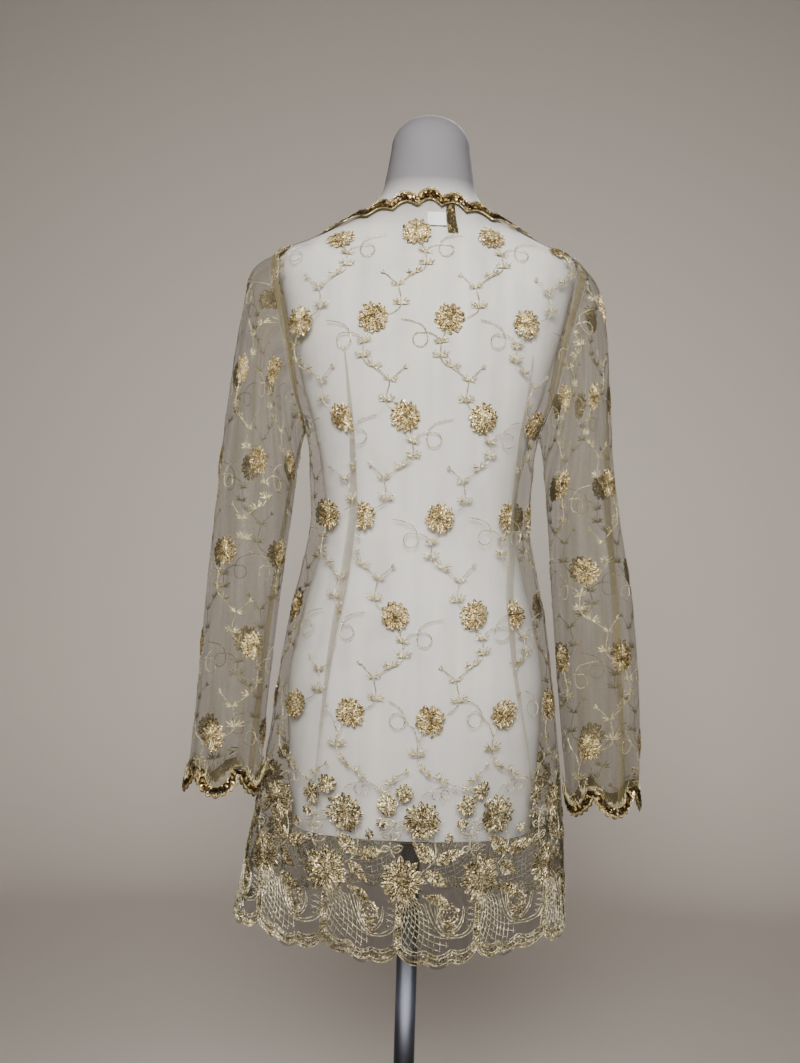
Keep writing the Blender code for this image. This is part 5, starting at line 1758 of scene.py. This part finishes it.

# ======================================================================= pieces sewn on each net
# Three panels are worn on the form and two sleeves hang from them, each cut flat in one layer of net. The pieces sewn
# on each are gathered into lists here, which nothing else uses.


def with_sewn(net, *names):
    """The pieces sewn on a net, then the named ones with what is sewn on them."""
    pieces = list(sewn_pieces[carriers[net].name])
    for name in names:
        pieces.append(bpy.data.objects[name])
        pieces += sewn_pieces.get(name, [])
    return pieces


with_sewn(
    "back", "left_dart", "right_dart", "left_side_seam", "right_side_seam", "left_shoulder_seam",
    "right_shoulder_seam", "left_armhole_seam", "right_armhole_seam", "neck_braid_tape", "neck_label_tape",
    "braid_end_tape")
for side, made, width, area in (("left", left_front_tulle, 0.26, 0.148), ("right", right_front_tulle, 0.26, 0.148)):
    with_sewn(f"{side}_front", f"front_braid_{side}_tape")
for side, width, length, area in (("left", 0.36, 0.61, 0.150), ("right", 0.36, 0.62, 0.154)):
    pieces = with_sewn(f"{side}_sleeve", f"{side}_sleeve_seam", f"cuff_braid_{side}_tape")

# ======================================================================= floor, light and camera
# A plain pale floor that sweeps up into a wall all round. Soft studio lamps hang above the camera, in front of
# the form and towards the wall, and a small one lies under the form, to light the inside of the front hem.
VIEW_DISTANCE, VIEW_HEIGHT, VIEW_SHIFT = 1.70, 1.127, 0.0218
FOCAL_PIXELS, IMAGE_LONG, SENSOR = 1518, 1063, 36.0
CAMERA_ROLL = -1.7

# a floor that sweeps up into a low wall all round
STAGE_RADIUS, STAGE_CURVE, STAGE_HEIGHT, STAGE_STEPS = 4.9, 0.7, 3.8, 96
STAGE_MIDDLE = 1.3       # how far the middle of the floor lies behind the form
stage_profile = [(0.0, 0.0), (STAGE_RADIUS - STAGE_CURVE, 0.0)]
for angle in range(10, 91, 10):
    a = math.radians(angle)
    stage_profile.append((STAGE_RADIUS - STAGE_CURVE * (1 - math.sin(a)), STAGE_CURVE * (1 - math.cos(a))))
stage_profile.append((STAGE_RADIUS, STAGE_HEIGHT))
floor_points, floor_faces = [Vector((0, STAGE_MIDDLE, 0))], []
for radius, height in stage_profile[1:]:
    for i in range(STAGE_STEPS):
        angle = 2 * math.pi * i / STAGE_STEPS
        floor_points.append(Vector((radius * math.cos(angle), STAGE_MIDDLE + radius * math.sin(angle), height)))
for i in range(STAGE_STEPS):
    n = (i + 1) % STAGE_STEPS
    floor_faces.append((0, 1 + i, 1 + n))
    for r in range(len(stage_profile) - 2):
        low, high = 1 + r * STAGE_STEPS, 1 + (r + 1) * STAGE_STEPS
        floor_faces.append((low + i, high + i, high + n, low + n))
paper, tree, shader = new_material("backdrop_paper", "#d3ccc5", 0.9)
backdrop = mesh_object("backdrop", floor_points, floor_faces, paper)


def lamp(name, place, target, size, power, colour, spread=120):
    """A soft rectangular lamp that points at a target. Spread is the angle of its beam, in degrees."""
    light = bpy.data.lights.new(name, "AREA")
    light.shape = "RECTANGLE"
    light.size, light.size_y = size
    light.energy = power
    light.color = linear(colour)[:3]
    light.spread = math.radians(spread)
    made = bpy.data.objects.new(name, light)
    made.location = place
    made.visible_camera = False
    made.rotation_euler = (Vector(target) - Vector(place)).to_track_quat("-Z", "Y").to_euler()
    bpy.context.scene.collection.objects.link(made)


lamp("key_light", (0.12, 3.0, 2.0), (0, 0, 1.48), (0.85, 0.85), 29, "#fffaf3", 56)
lamp("fill_light", (-2.2, 1.8, 2.0), (0, 0, 1.1), (1.6, 1.6), 4, "#eef2ff")
lamp("front_light", (-0.5, -2.8, 2.7), (0, 0, 1.1), (1.6, 1.6), 16, "#f6f6ff", 50)
lamp("top_light", (0.0, 0.2, 3.1), (0, 0, 1.0), (2.0, 2.0), 6, "#fffaf2", 60)
lamp("skirt_light", (0.0, 0.10, 0.57), (0, -0.13, 0.72), (0.26, 0.05), 0.8, "#f2f4ff", 130)
for place, target in (((2.6, 0, 2.7), (4.9, 1.0, 1.2)), ((-2.6, 0, 2.7), (-4.9, 1.0, 1.2)), ((0, 3.7, 2.9), (0, 6.0, 1.2))):
    lamp("wall_light", place, target, (1.2, 1.2), 22, "#fffaf3", 150)
world = bpy.data.worlds.new("soft_room")
bpy.context.scene.world = world
world.use_nodes = True
world.node_tree.nodes["Background"].inputs["Color"].default_value = linear("#c9ccd2")
world.node_tree.nodes["Background"].inputs["Strength"].default_value = 0.10

camera = bpy.data.objects.new("camera", bpy.data.cameras.new("camera"))
bpy.context.scene.collection.objects.link(camera)
camera.data.sensor_width = SENSOR
camera.data.lens = FOCAL_PIXELS * SENSOR / IMAGE_LONG
camera.location = (VIEW_SHIFT, VIEW_DISTANCE, VIEW_HEIGHT)
camera.rotation_euler = (math.radians(90), math.radians(CAMERA_ROLL), math.radians(180))
bpy.context.scene.camera = camera

for made in carriers.values():
    bpy.data.objects.remove(made, do_unlink=True)
for collection in list(bpy.data.collections):
    for made in list(collection.objects):
        bpy.data.objects.remove(made, do_unlink=True)
    bpy.data.collections.remove(collection)
